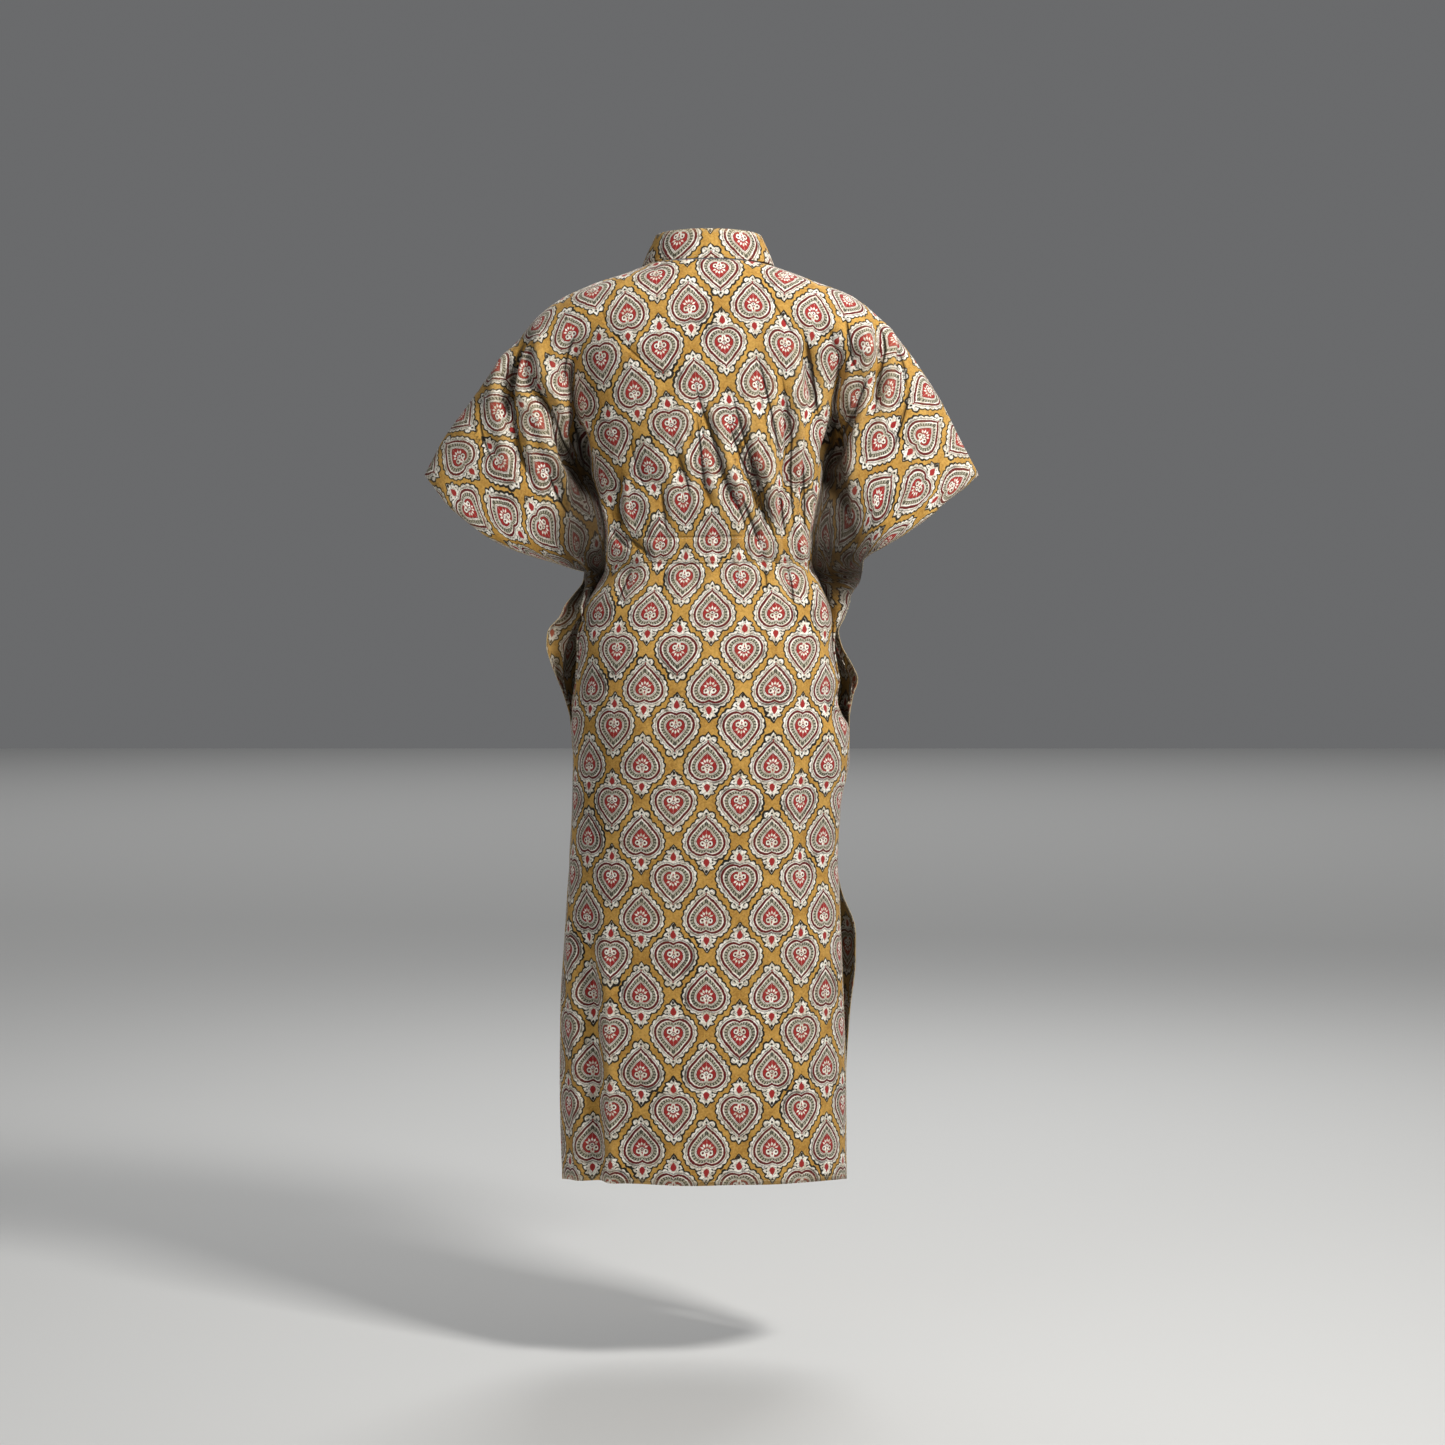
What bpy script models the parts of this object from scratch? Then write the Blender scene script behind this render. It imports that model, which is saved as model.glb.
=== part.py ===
"""A kaftan with wide sleeves cut in one with its front and back, held up at the neck.

Metres, +Z up. The origin is at the middle of the neck, level with the neck points of the shoulder seams. The
back faces -Y and the front faces +Y. Each panel is a lattice: its rows are sections of the garment at a height,
and its columns share out the cloth from the centre line to the seam at the side.
"""

import math

import bmesh
import bpy
import numpy as np
from mathutils import Vector

GARMENT = "kaftan"

# Cloth and seams
WALL = 0.0015
COLLAR_WALL = 0.002
SEAM_GAP = 0.0003

# Neck and band collar
NECK_HALF_WIDTH = 0.0825
NECK_LEVEL = -0.006
NECK_BACK_RISE = 0.003
NECK_FRONT_DROP = 0.042
NECK_CURVE_FADE = 0.15
COLLAR_HEIGHT = 0.038
COLLAR_TOP_SHARE = 0.80
COLLAR_TOP_DEPTH_SHARE = 0.88
COLLAR_ROWS = 2

# Length, front slit and side slits
HEM_LEVEL = -1.159
HEM_SIDE_DROP = 0.012
HEM_CURVE_FROM = -1.0
NECK_SLIT_LENGTH = 0.19
NECK_SLIT_HALF_WIDTH = 0.004

# Elastic waist
WAIST_LEVEL = -0.367
WAIST_REACH = 0.055
PUCKER_DEPTH = 0.0028

# Lattice: a row of this table for each stretch of rows, from its first height to its last
ROW_STRETCHES = (
    # first height, last height, rows
    (NECK_LEVEL, -0.045, 6),
    (-0.045, -0.269, 8),
    (-0.269, -0.392, 7),
    (-0.392, -0.577, 9),
    (-0.577, HEM_LEVEL, 11),
)
SPARSE_BELOW = -0.60
BACK_COLUMNS = 56
FRONT_COLUMNS = 41
BODY_SHARE = 0.5
BODY_SHARE_SPREAD = (-0.40, -0.60)
SLEEVE_LEAST_REACH = 0.002
NECK_LENGTH_OVER_WIDTH = 1.5
TINY = 1e-5

# Where the upper body's plain oval section turns into a body with a sleeve beside it
OVAL_TO_SLEEVES = (-0.055, -0.165)

# Body sections: depth of the back and the front, and how square the section is
BODY_COLUMNS = ("height", "back", "front", "squareness")
BODY = (
    (NECK_LEVEL, 0.070, 0.075, 2.0),
    (-0.030, 0.082, 0.080, 2.1),
    (-0.060, 0.092, 0.086, 2.3),
    (-0.100, 0.099, 0.094, 2.4),
    (-0.150, 0.103, 0.108, 2.3),
    (-0.200, 0.103, 0.121, 2.2),
    (-0.250, 0.100, 0.128, 2.1),
    (-0.300, 0.094, 0.117, 2.1),
    (-0.367, 0.086, 0.092, 2.1),
    (-0.450, 0.104, 0.098, 2.1),
    (-0.520, 0.121, 0.103, 2.1),
    (-0.600, 0.129, 0.106, 2.1),
    (-0.700, 0.127, 0.107, 2.1),
    (-0.850, 0.124, 0.108, 2.1),
    (-1.000, 0.123, 0.110, 2.1),
    (-1.190, 0.124, 0.113, 2.1),
)

# Fold between the body and each sleeve: how far out it lies, and how deep its bottom is
VALLEY_COLUMNS = ("height", "left", "right", "back", "front")
VALLEY = (
    (-0.079, 0.166, 0.176, 0.060, 0.060),
    (-0.120, 0.173, 0.170, 0.040, 0.044),
    (-0.160, 0.173, 0.164, 0.022, 0.028),
    (-0.200, 0.169, 0.159, 0.010, 0.014),
    (-0.255, 0.154, 0.149, 0.006, 0.008),
    (-0.300, 0.139, 0.141, 0.005, 0.006),
    (-0.340, 0.131, 0.134, 0.005, 0.006),
    (-0.385, 0.131, 0.134, 0.005, 0.006),
    (-0.410, 0.142, 0.143, 0.005, 0.006),
    (-0.435, 0.156, 0.152, 0.005, 0.006),
    (-0.480, 0.165, 0.158, 0.005, 0.006),
    (-0.530, 0.168, 0.163, 0.004, 0.005),
    (-0.600, 0.174, 0.175, 0.002, 0.002),
)

# Sleeve sheet: its thickest place as a share of the way from the valley to its edge, and its depth there
SLEEVE_COLUMNS = ("height", "left_share", "right_share", "back", "front")
SLEEVE = (
    (-0.079, 0.30, 0.30, 0.072, 0.070),
    (-0.120, 0.26, 0.26, 0.067, 0.066),
    (-0.200, 0.18, 0.17, 0.060, 0.064),
    (-0.255, 0.14, 0.12, 0.056, 0.062),
    (-0.300, 0.14, 0.20, 0.053, 0.060),
    (-0.335, 0.22, 0.36, 0.050, 0.056),
    (-0.360, 0.32, 0.60, 0.046, 0.050),
    (-0.380, 0.50, 0.80, 0.036, 0.040),
    (-0.392, 0.70, 0.85, 0.024, 0.026),
    (-0.420, 0.60, 0.70, 0.018, 0.016),
    (-0.486, 0.65, 0.60, 0.022, 0.014),
    (-0.550, 0.60, 0.60, 0.014, 0.010),
    (-0.600, 0.50, 0.50, 0.003, 0.003),
)

# Outer edge of each panel, from the neck point down: shoulder seam, sleeve hem, underarm seam and side
EDGE_COLUMNS = ("height", "left", "right", "opening")
SHOULDER_SEAM = (
    (NECK_LEVEL, NECK_HALF_WIDTH, NECK_HALF_WIDTH, 0.0),
    (-0.017, 0.112, 0.115, 0.0),
    (-0.027, 0.144, 0.141, 0.0),
    (-0.037, 0.168, 0.169, 0.0),
    (-0.045, 0.185, 0.186, 0.0),
    (-0.070, 0.218, 0.217, 0.0),
    (-0.096, 0.240, 0.241, 0.0),
    (-0.122, 0.264, 0.261, 0.0),
    (-0.173, 0.301, 0.295, 0.0),
    (-0.224, 0.338, 0.321, 0.0),
    (-0.269, 0.362, 0.345, 0.0),
)
SLEEVE_HEM = (
    (-0.269, 0.362, 0.345, 0.000),
    (-0.288, 0.346, 0.323, 0.022),
    (-0.305, 0.333, 0.300, 0.036),
    (-0.320, 0.317, 0.284, 0.044),
    (-0.335, 0.298, 0.264, 0.048),
    (-0.350, 0.277, 0.241, 0.048),
    (-0.362, 0.254, 0.221, 0.045),
    (-0.372, 0.226, 0.203, 0.038),
    (-0.380, 0.197, 0.196, 0.028),
    (-0.387, 0.177, 0.196, 0.014),
    (-0.392, 0.158, 0.196, 0.000),
)
UNDERARM_SEAM = (
    (-0.392, 0.158, 0.196, 0.0),
    (-0.405, 0.160, 0.193, 0.0),
    (-0.420, 0.171, 0.183, 0.0),
    (-0.435, 0.183, 0.179, 0.0),
    (-0.450, 0.190, 0.174, 0.0),
    (-0.468, 0.205, 0.166, 0.0),
    (-0.486, 0.207, 0.170, 0.0),
    (-0.512, 0.200, 0.184, 0.0),
    (-0.530, 0.193, 0.191, 0.0),
    (-0.550, 0.185, 0.185, 0.0),
    (-0.577, 0.177, 0.180, 0.0),
)
BACK_SIDE = (
    (-0.577, 0.177, 0.180, 0.0),
    (-0.630, 0.173, 0.180, 0.0),
    (-0.690, 0.174, 0.169, 0.0),
    (-0.772, 0.178, 0.165, 0.0),
    (-0.800, 0.180, 0.167, 0.004),
    (-0.850, 0.183, 0.169, 0.010),
    (-0.950, 0.189, 0.173, 0.012),
    (-1.050, 0.190, 0.176, 0.010),
    (-1.190, 0.186, 0.177, 0.008),
)
FRONT_SIDE = (
    (-0.577, 0.177, 0.180, 0.0),
    (-0.630, 0.173, 0.180, 0.0),
    (-0.690, 0.174, 0.169, 0.0),
    (-0.772, 0.178, 0.165, 0.0),
    (-0.800, 0.178, 0.170, 0.003),
    (-0.855, 0.178, 0.189, 0.006),
    (-0.890, 0.180, 0.189, 0.008),
    (-0.954, 0.183, 0.182, 0.008),
    (-1.050, 0.184, 0.176, 0.007),
    (-1.190, 0.180, 0.173, 0.006),
)

# Folds: each runs through three places given as x and z. A trough has a positive depth, a ridge a negative one
BACK_FOLDS = (
    # start, middle, end, half width, depth
    ((-0.227, -0.087), (-0.250, -0.154), (-0.266, -0.198), 0.010, 0.012),
    ((-0.223, -0.129), (-0.196, -0.197), (-0.160, -0.288), 0.012, 0.014),
    ((-0.253, -0.160), (-0.248, -0.215), (-0.228, -0.285), 0.015, 0.008),
    ((-0.208, -0.084), (-0.214, -0.140), (-0.205, -0.170), 0.010, -0.005),
    ((0.196, -0.051), (0.225, -0.118), (0.207, -0.211), 0.010, 0.011),
    ((0.209, -0.134), (0.189, -0.187), (0.160, -0.255), 0.010, 0.012),
    ((0.173, -0.072), (0.180, -0.110), (0.184, -0.150), 0.010, 0.004),
    ((0.100, -0.154), (0.109, -0.274), (0.113, -0.353), 0.011, 0.009),
    ((0.068, -0.250), (0.076, -0.300), (0.090, -0.348), 0.011, 0.006),
    ((0.033, -0.219), (0.052, -0.274), (0.065, -0.345), 0.011, 0.007),
    ((-0.014, -0.189), (-0.002, -0.284), (0.012, -0.345), 0.010, 0.005),
    ((-0.041, -0.225), (-0.026, -0.280), (-0.014, -0.345), 0.010, 0.004),
    ((0.123, -0.096), (0.133, -0.140), (0.140, -0.211), 0.010, 0.005),
    ((-0.115, -0.335), (-0.090, -0.362), (-0.068, -0.390), 0.010, 0.005),
    ((-0.158, -0.780), (-0.150, -1.000), (-0.142, -1.180), 0.012, 0.009),
)
FRONT_FOLDS = (
    # start, middle, end, half width, depth
    ((-0.232, -0.095), (-0.246, -0.160), (-0.252, -0.230), 0.012, 0.011),
    ((-0.216, -0.130), (-0.192, -0.200), (-0.166, -0.290), 0.013, 0.012),
    ((0.222, -0.090), (0.232, -0.150), (0.236, -0.220), 0.012, 0.010),
    ((0.206, -0.130), (0.186, -0.195), (0.162, -0.270), 0.012, 0.012),
    ((-0.070, -0.240), (-0.078, -0.290), (-0.082, -0.350), 0.012, 0.006),
    ((0.075, -0.235), (0.080, -0.290), (0.084, -0.350), 0.012, 0.006),
    ((-0.030, -0.270), (-0.034, -0.310), (-0.036, -0.350), 0.012, 0.005),
    ((0.034, -0.275), (0.038, -0.310), (0.040, -0.350), 0.012, 0.005),
    ((0.110, -0.840), (0.116, -1.000), (0.118, -1.180), 0.018, 0.009),
    ((-0.060, -0.760), (-0.064, -0.960), (-0.070, -1.180), 0.020, 0.007),
)
FOLD_DEPTH_AT_ENDS = 0.25
FOLD_TAPER_POWER = 4
EDGE_KEPT_FLAT = 0.07

# A place inside the garment, from which all cloth faces away
HOLLOW_MIDDLE = Vector((0.0, 0.0, -0.4))

CLOTH_COLOUR = (0.45, 0.28, 0.07, 1.0)
COLLAR_COLOUR = (0.50, 0.33, 0.10, 1.0)
CLOTH_ROUGHNESS = 0.82


def smooth(value, start, end):
    """Goes from 0 at start to 1 at end, level at both."""
    share = np.clip((value - start) / (end - start), 0.0, 1.0)
    return share * share * (3.0 - 2.0 * share)


def read(table, columns, height, column):
    """A table's column at a height, along a curve that never overshoots its rows."""
    heights = np.array([row[0] for row in table])
    values = np.array([row[columns.index(column)] for row in table])
    steps = np.diff(heights)
    slopes = np.diff(values) / steps
    above, below = slopes[:-1], slopes[1:]
    one_way = above * below > 0.0
    inner = np.where(one_way, 2.0 * above * below / np.where(one_way, above + below, 1.0), 0.0)
    tangents = np.concatenate([slopes[:1], inner, slopes[-1:]])
    height = min(max(height, heights[-1]), heights[0])
    cell = min(int(np.searchsorted(-heights, -height, side="right")) - 1, len(steps) - 1)
    step = steps[cell]
    part = (height - heights[cell]) / step
    rest = 1.0 - part
    return float(
        values[cell] * rest * rest * (1.0 + 2.0 * part)
        + values[cell + 1] * part * part * (3.0 - 2.0 * part)
        + tangents[cell] * step * part * rest * rest
        - tangents[cell + 1] * step * part * part * rest
    )


def edge(height, side, face):
    """How far out and how deep the panel's outer edge lies at a height."""
    last = BACK_SIDE if face == "back" else FRONT_SIDE
    for table in (SHOULDER_SEAM, SLEEVE_HEM, UNDERARM_SEAM, last):
        if height >= table[-1][0]:
            break
    out = read(table, EDGE_COLUMNS, height, side)
    opening = read(table, EDGE_COLUMNS, height, "opening")
    return out, opening + SEAM_GAP / 2.0


def oval(half_width, depth, squareness, edge_depth, steps=120):
    """A quarter of a rounded oval, from the centre line to the edge, as out and depth."""
    angle = np.linspace(0.0, math.pi / 2.0, steps)
    out = half_width * np.sin(angle) ** (2.0 / squareness)
    deep = edge_depth + (depth - edge_depth) * np.cos(angle) ** (2.0 / squareness)
    return np.column_stack([out, deep])


def sleeve_sheet(valley, crest, rim, steps=80):
    """The sleeve's section: it rises steeply from the valley to its crest, then rounds off to its rim."""
    turn = np.linspace(0.0, math.pi / 2.0, steps)
    rise = np.column_stack(
        [
            valley[0] + (crest[0] - valley[0]) * (1.0 - np.cos(turn)),
            valley[1] + (crest[1] - valley[1]) * np.sin(turn),
        ]
    )
    fall = np.column_stack(
        [
            crest[0] + (rim[0] - crest[0]) * np.sin(turn),
            rim[1] + (crest[1] - rim[1]) * np.cos(turn),
        ]
    )
    return np.vstack([rise, fall[1:]])


def spread(line, shares):
    """Places along a line at the given shares of its length."""
    run = np.concatenate([[0.0], np.cumsum(np.hypot(*np.diff(line, axis=0).T))])
    wanted = shares * run[-1]
    return np.column_stack([np.interp(wanted, run, line[:, 0]), np.interp(wanted, run, line[:, 1])])


def half_section(height, side, face, shares):
    """One side of a panel's section at a height, from the centre line to the outer edge."""
    out, rim = edge(height, side, face)
    depth = read(BODY, BODY_COLUMNS, height, face)
    squareness = read(BODY, BODY_COLUMNS, height, "squareness")
    plain = spread(oval(out, depth, squareness, rim), shares)
    beside = smooth(height, *OVAL_TO_SLEEVES)
    if beside == 0.0:
        return plain
    valley = np.array(
        [
            min(read(VALLEY, VALLEY_COLUMNS, height, side), out - SLEEVE_LEAST_REACH),
            max(read(VALLEY, VALLEY_COLUMNS, height, face), rim),
        ]
    )
    narrowing = smooth(height, *BODY_SHARE_SPREAD)
    valley[0] += (out - valley[0]) * narrowing
    valley[1] += (rim - valley[1]) * narrowing
    squeeze = (1.0 - (valley[1] / depth) ** squareness) ** (1.0 / squareness)
    body = oval(valley[0] / squeeze, depth, squareness, 0.0)
    body = np.vstack([body[body[:, 0] < valley[0] - TINY], valley])
    crest_share = read(SLEEVE, SLEEVE_COLUMNS, height, side + "_share")
    crest_depth = read(SLEEVE, SLEEVE_COLUMNS, height, face)
    crest = (valley[0] + (out - valley[0]) * crest_share, max(crest_depth, rim))
    sleeve = sleeve_sheet(valley, crest, (out, rim))
    body_share = BODY_SHARE + (1.0 - BODY_SHARE) * narrowing
    on_body = spread(body, np.clip(shares / body_share, 0.0, 1.0))
    on_sleeve = spread(sleeve, np.clip((shares - body_share) / max(1.0 - body_share, TINY), 0.0, 1.0))
    folded = np.where((shares <= body_share)[:, None], on_body, on_sleeve)
    return plain + (folded - plain) * beside


def fold_depth(x, z, folds):
    """The depth that all folds together give at one place seen from the back."""
    total = 0.0
    for start, middle, end, half_width, depth in folds:
        nearest = None
        run = 0.0
        ends = (start, middle, end)
        lengths = [math.dist(ends[0], ends[1]), math.dist(ends[1], ends[2])]
        for (ax, az), (bx, bz), length in zip(ends[:-1], ends[1:], lengths):
            along = ((x - ax) * (bx - ax) + (z - az) * (bz - az)) / length**2
            along = min(max(along, 0.0), 1.0)
            away = math.hypot(x - ax - along * (bx - ax), z - az - along * (bz - az))
            if nearest is None or away < nearest[0]:
                nearest = (away, (run + along * length) / sum(lengths))
            run += length
        away, share = nearest
        full = 1.0 - (2.0 * share - 1.0) ** FOLD_TAPER_POWER
        kept = FOLD_DEPTH_AT_ENDS + (1.0 - FOLD_DEPTH_AT_ENDS) * full
        total += depth * kept * math.exp(-((away / half_width) ** 2))
    return total


def row_heights():
    """The height of each lattice row at the side, from the neck to the hem."""
    heights = [NECK_LEVEL]
    for first, last, rows in ROW_STRETCHES:
        heights += list(np.linspace(first, last, rows + 1)[1:])
    return np.array(heights)


def neck_curve(height, share, face):
    """How much the neckline's curve lifts or lowers a place, fading out below the neck."""
    fade = 1.0 - smooth(NECK_LEVEL - height, 0.0, NECK_CURVE_FADE)
    across = math.cos(share * math.pi / 2.0)
    if face == "back":
        return NECK_BACK_RISE * across * fade
    return -NECK_FRONT_DROP * across**1.5 * fade


def lattice(face, columns):
    """Every place of a panel, as a list of rows of (x, y, z)."""
    sign = -1.0 if face == "back" else 1.0
    folds = BACK_FOLDS if face == "back" else FRONT_FOLDS
    across = np.linspace(-1.0, 1.0, columns + 1)
    middle = 1.0 / columns if columns % 2 else 0.0
    rows = []
    for height in row_heights():
        row = []
        sections = {}
        for side in ("left", "right"):
            shares = np.abs(across[across < 0.0] if side == "left" else across[across >= 0.0])
            if middle:
                reach = NECK_LENGTH_OVER_WIDTH * edge(height, side, face)[0]
                first = NECK_SLIT_HALF_WIDTH / reach
                shares = first + (shares - middle) / (1.0 - middle) * (1.0 - first)
            sections[side] = np.column_stack([half_section(height, side, face, shares), shares])
        for side, way in (("left", -1.0), ("right", 1.0)):
            for number, (out, depth, share) in enumerate(sections[side]):
                inside = min((1.0 - share) / EDGE_KEPT_FLAT, 1.0)
                z = height + neck_curve(height, share, face)
                z -= HEM_SIDE_DROP * share**4 * smooth(height, HEM_CURVE_FROM, HEM_LEVEL)
                pressed = fold_depth(way * out, z, folds) * inside
                near_waist = math.exp(-(((z - WAIST_LEVEL) / WAIST_REACH) ** 2))
                pucker = PUCKER_DEPTH * near_waist * (1 if number % 2 else -1) * inside
                if share > BODY_SHARE:
                    pucker = 0.0
                row.append((way * out, sign * max(depth - pressed + pucker, SEAM_GAP / 2.0), z))
        rows.append(row)
    return rows


def cloth_material(name, colour):
    """Plain woven cotton."""
    material = bpy.data.materials.new(name)
    material.use_nodes = True
    shader = material.node_tree.nodes["Principled BSDF"]
    shader.inputs["Base Color"].default_value = colour
    shader.inputs["Roughness"].default_value = CLOTH_ROUGHNESS
    shader.inputs["Metallic"].default_value = 0.0
    material.diffuse_color = colour
    return material


def add_piece(name, shape, wall, colour, collection):
    """Makes the open cloth a named piece with its wall on the outside."""
    mesh = bpy.data.meshes.new(name)
    shape.to_mesh(mesh)
    shape.free()
    mesh.shade_smooth()
    piece = bpy.data.objects.new(name, mesh)
    piece.data.materials.append(cloth_material(name, colour))
    collection.objects.link(piece)
    skin = piece.modifiers.new("cloth", "SOLIDIFY")
    skin.thickness = wall
    skin.offset = 1.0
    return piece


def grid(columns, rows):
    """A flat lattice, with each corner's column and row."""
    shape = bmesh.new()
    bmesh.ops.create_grid(shape, x_segments=columns, y_segments=rows, size=1.0)
    places = {}
    for corner in shape.verts:
        column = round((corner.co.x + 1.0) / 2.0 * columns)
        row = round((1.0 - corner.co.y) / 2.0 * rows)
        places[corner] = (column, row)
    return shape, places


def face_outwards(shape):
    """Turns the whole sheet so that it faces away from the garment's hollow."""
    shape.normal_update()
    facing = 0.0
    for face in shape.faces:
        facing += (face.calc_center_median() - HOLLOW_MIDDLE).dot(face.normal) * face.calc_area()
    if facing < 0.0:
        bmesh.ops.reverse_faces(shape, faces=shape.faces)


def add_panel(face, columns, collection):
    """The back or the front, with both sleeves cut in one with it."""
    heights = row_heights()
    shape, places = grid(columns, len(heights) - 1)
    points = lattice(face, columns)
    for corner, (column, row) in places.items():
        corner.co = points[row][column]
    if face == "front":
        middle = columns // 2
        slit_end = NECK_LEVEL - NECK_FRONT_DROP - NECK_SLIT_LENGTH
        slit = [
            square
            for square in shape.faces
            if {places[corner][0] for corner in square.verts} == {middle, middle + 1}
            and min(corner.co.z for corner in square.verts) > slit_end
        ]
        bmesh.ops.delete(shape, geom=slit, context="FACES")
    half = columns // 2
    spare = []
    for line in shape.edges:
        ends = [places[corner] for corner in line.verts]
        column = ends[0][0]
        from_side = column if column <= half else columns - column
        below = all(heights[row] < SPARSE_BELOW for _, row in ends)
        if ends[0][0] == ends[1][0] and from_side % 2 and below:
            spare.append(line)
    bmesh.ops.dissolve_edges(shape, edges=spare, use_verts=True)
    face_outwards(shape)
    return add_piece(face, shape, WALL, CLOTH_COLOUR, collection)


def neckline():
    """The panels' top edges in one run, from the slit round the left side, the back and the right side."""
    back = lattice("back", BACK_COLUMNS)[0]
    front = lattice("front", FRONT_COLUMNS)[0]
    half = FRONT_COLUMNS // 2
    return front[half:0:-1] + back + front[-2:half:-1]


def add_collar(collection):
    """The band collar, which stands on the neckline and is open at the centre front."""
    base = neckline()
    shape, places = grid(len(base) - 1, COLLAR_ROWS)
    for corner, (column, row) in places.items():
        x, y, z = base[column]
        up = row / COLLAR_ROWS
        narrow = 1.0 + (COLLAR_TOP_SHARE - 1.0) * up
        shallow = 1.0 + (COLLAR_TOP_DEPTH_SHARE - 1.0) * up
        corner.co = (x * narrow, y * shallow, z + WALL + SEAM_GAP + COLLAR_HEIGHT * up)
    face_outwards(shape)
    return add_piece("collar", shape, COLLAR_WALL, COLLAR_COLOUR, collection)


def main():
    """Clears the scene and makes the kaftan."""
    for thing in list(bpy.data.objects):
        bpy.data.objects.remove(thing)
    collection = bpy.data.collections.new(GARMENT)
    bpy.context.scene.collection.children.link(collection)
    add_panel("back", BACK_COLUMNS, collection)
    add_panel("front", FRONT_COLUMNS, collection)
    add_collar(collection)


main()
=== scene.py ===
"""A kaftan of block-printed cotton in its hollow worn shape, seen from the back.

Metres, +Z up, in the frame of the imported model. The back faces -Y, the front faces +Y, and the origin is at
the middle of the neck. Each panel is one sheet of cloth: its rows are sections of the garment at a height,
and its columns share out the cloth from the centre line to the seam at the side.
"""

from __future__ import annotations

import logging
import math
from dataclasses import dataclass, field
from enum import Enum

import bmesh
import bpy
import numpy as np
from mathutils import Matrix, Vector


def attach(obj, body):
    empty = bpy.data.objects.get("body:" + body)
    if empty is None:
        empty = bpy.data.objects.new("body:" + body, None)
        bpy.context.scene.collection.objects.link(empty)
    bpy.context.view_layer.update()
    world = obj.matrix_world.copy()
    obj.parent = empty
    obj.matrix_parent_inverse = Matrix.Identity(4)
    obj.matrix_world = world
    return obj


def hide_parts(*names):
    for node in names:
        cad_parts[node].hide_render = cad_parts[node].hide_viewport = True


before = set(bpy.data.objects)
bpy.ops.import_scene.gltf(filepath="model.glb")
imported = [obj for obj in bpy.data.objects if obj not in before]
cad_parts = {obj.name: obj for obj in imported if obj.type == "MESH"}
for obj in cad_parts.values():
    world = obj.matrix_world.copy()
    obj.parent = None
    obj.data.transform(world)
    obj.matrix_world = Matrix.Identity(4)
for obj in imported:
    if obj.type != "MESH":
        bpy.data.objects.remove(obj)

LOG = logging.getLogger("kaftan")
BODY_NAME = "root"

Colour = tuple[float, float, float, float]
Places = np.ndarray
Pair = tuple[float, float]
Row = tuple[float, ...]


class Face(Enum):
    """The two sides of the garment."""

    BACK = "back"
    FRONT = "front"

    @property
    def way(self) -> float:
        """Which way along Y this side faces."""
        return -1.0 if self is Face.BACK else 1.0


class Side(Enum):
    """The two halves of a panel, as seen from the back."""

    LEFT = "left"
    RIGHT = "right"

    @property
    def way(self) -> float:
        """Which way along X this half lies."""
        return -1.0 if self is Side.LEFT else 1.0


@dataclass(frozen=True)
class Table:
    """Values by height, from the neck down, read along a curve that never overshoots them."""

    columns: tuple[str, ...]
    rows: tuple[Row, ...]

    @property
    def lowest(self) -> float:
        """The height of the last row."""
        return self.rows[-1][0]

    def read(self, column: str, heights: Places) -> Places:
        """Reads one column at many heights.

        Args:
            column: the column's name.
            heights: the heights to read at.

        Returns:
            The values, one for each height.
        """
        places = np.array([row[0] for row in self.rows])
        values = np.array([row[self.columns.index(column)] for row in self.rows])
        steps = np.diff(places)
        slopes = np.diff(values) / steps
        above, below = slopes[:-1], slopes[1:]
        one_way = above * below > 0.0
        inner = np.where(one_way, 2.0 * above * below / np.where(one_way, above + below, 1.0), 0.0)
        tangents = np.concatenate([slopes[:1], inner, slopes[-1:]])
        at = np.clip(heights, places[-1], places[0])
        cell = np.clip(np.searchsorted(-places, -at, side="right") - 1, 0, len(steps) - 1)
        step = steps[cell]
        part = (at - places[cell]) / step
        rest = 1.0 - part
        return (
            values[cell] * rest * rest * (1.0 + 2.0 * part)
            + values[cell + 1] * part * part * (3.0 - 2.0 * part)
            + tangents[cell] * step * part * rest * rest
            - tangents[cell + 1] * step * part * part * rest
        )


# Sizes of the form, the same as the solids'
NECK_HALF_WIDTH = 0.0825
NECK_LEVEL = -0.006
NECK_BACK_RISE = 0.003
NECK_FRONT_DROP = 0.042
NECK_CURVE_FADE = 0.15
HEM_LEVEL = -1.159
HEM_SIDE_DROP = 0.012
HEM_CURVE_FROM = -1.0
NECK_SLIT_LENGTH = 0.19
NECK_SLIT_HALF_WIDTH = 0.004
NECK_LENGTH_OVER_WIDTH = 1.5
SEAM_GAP = 0.0003
SHOULDER_LEVEL = -0.045
SLEEVE_TIP_LEVEL = -0.269
WAIST_LEVEL = -0.367
UNDERARM_LEVEL = -0.392
EAR_END_LEVEL = -0.577
LEVELS = (NECK_LEVEL, SHOULDER_LEVEL, SLEEVE_TIP_LEVEL, UNDERARM_LEVEL, EAR_END_LEVEL, HEM_LEVEL)
BODY_SHARE = 0.5
BODY_SHARE_SPREAD = (-0.40, -0.60)
OVAL_TO_SLEEVES = (-0.055, -0.165)
SLEEVE_LEAST_REACH = 0.002
FRONT_HOLLOW_SHARE = 0.4
OPENING_OVER_DRAWN_IN = 0.35
EDGE_KEPT_FLAT = 0.13
TINY = 1e-5

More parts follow.
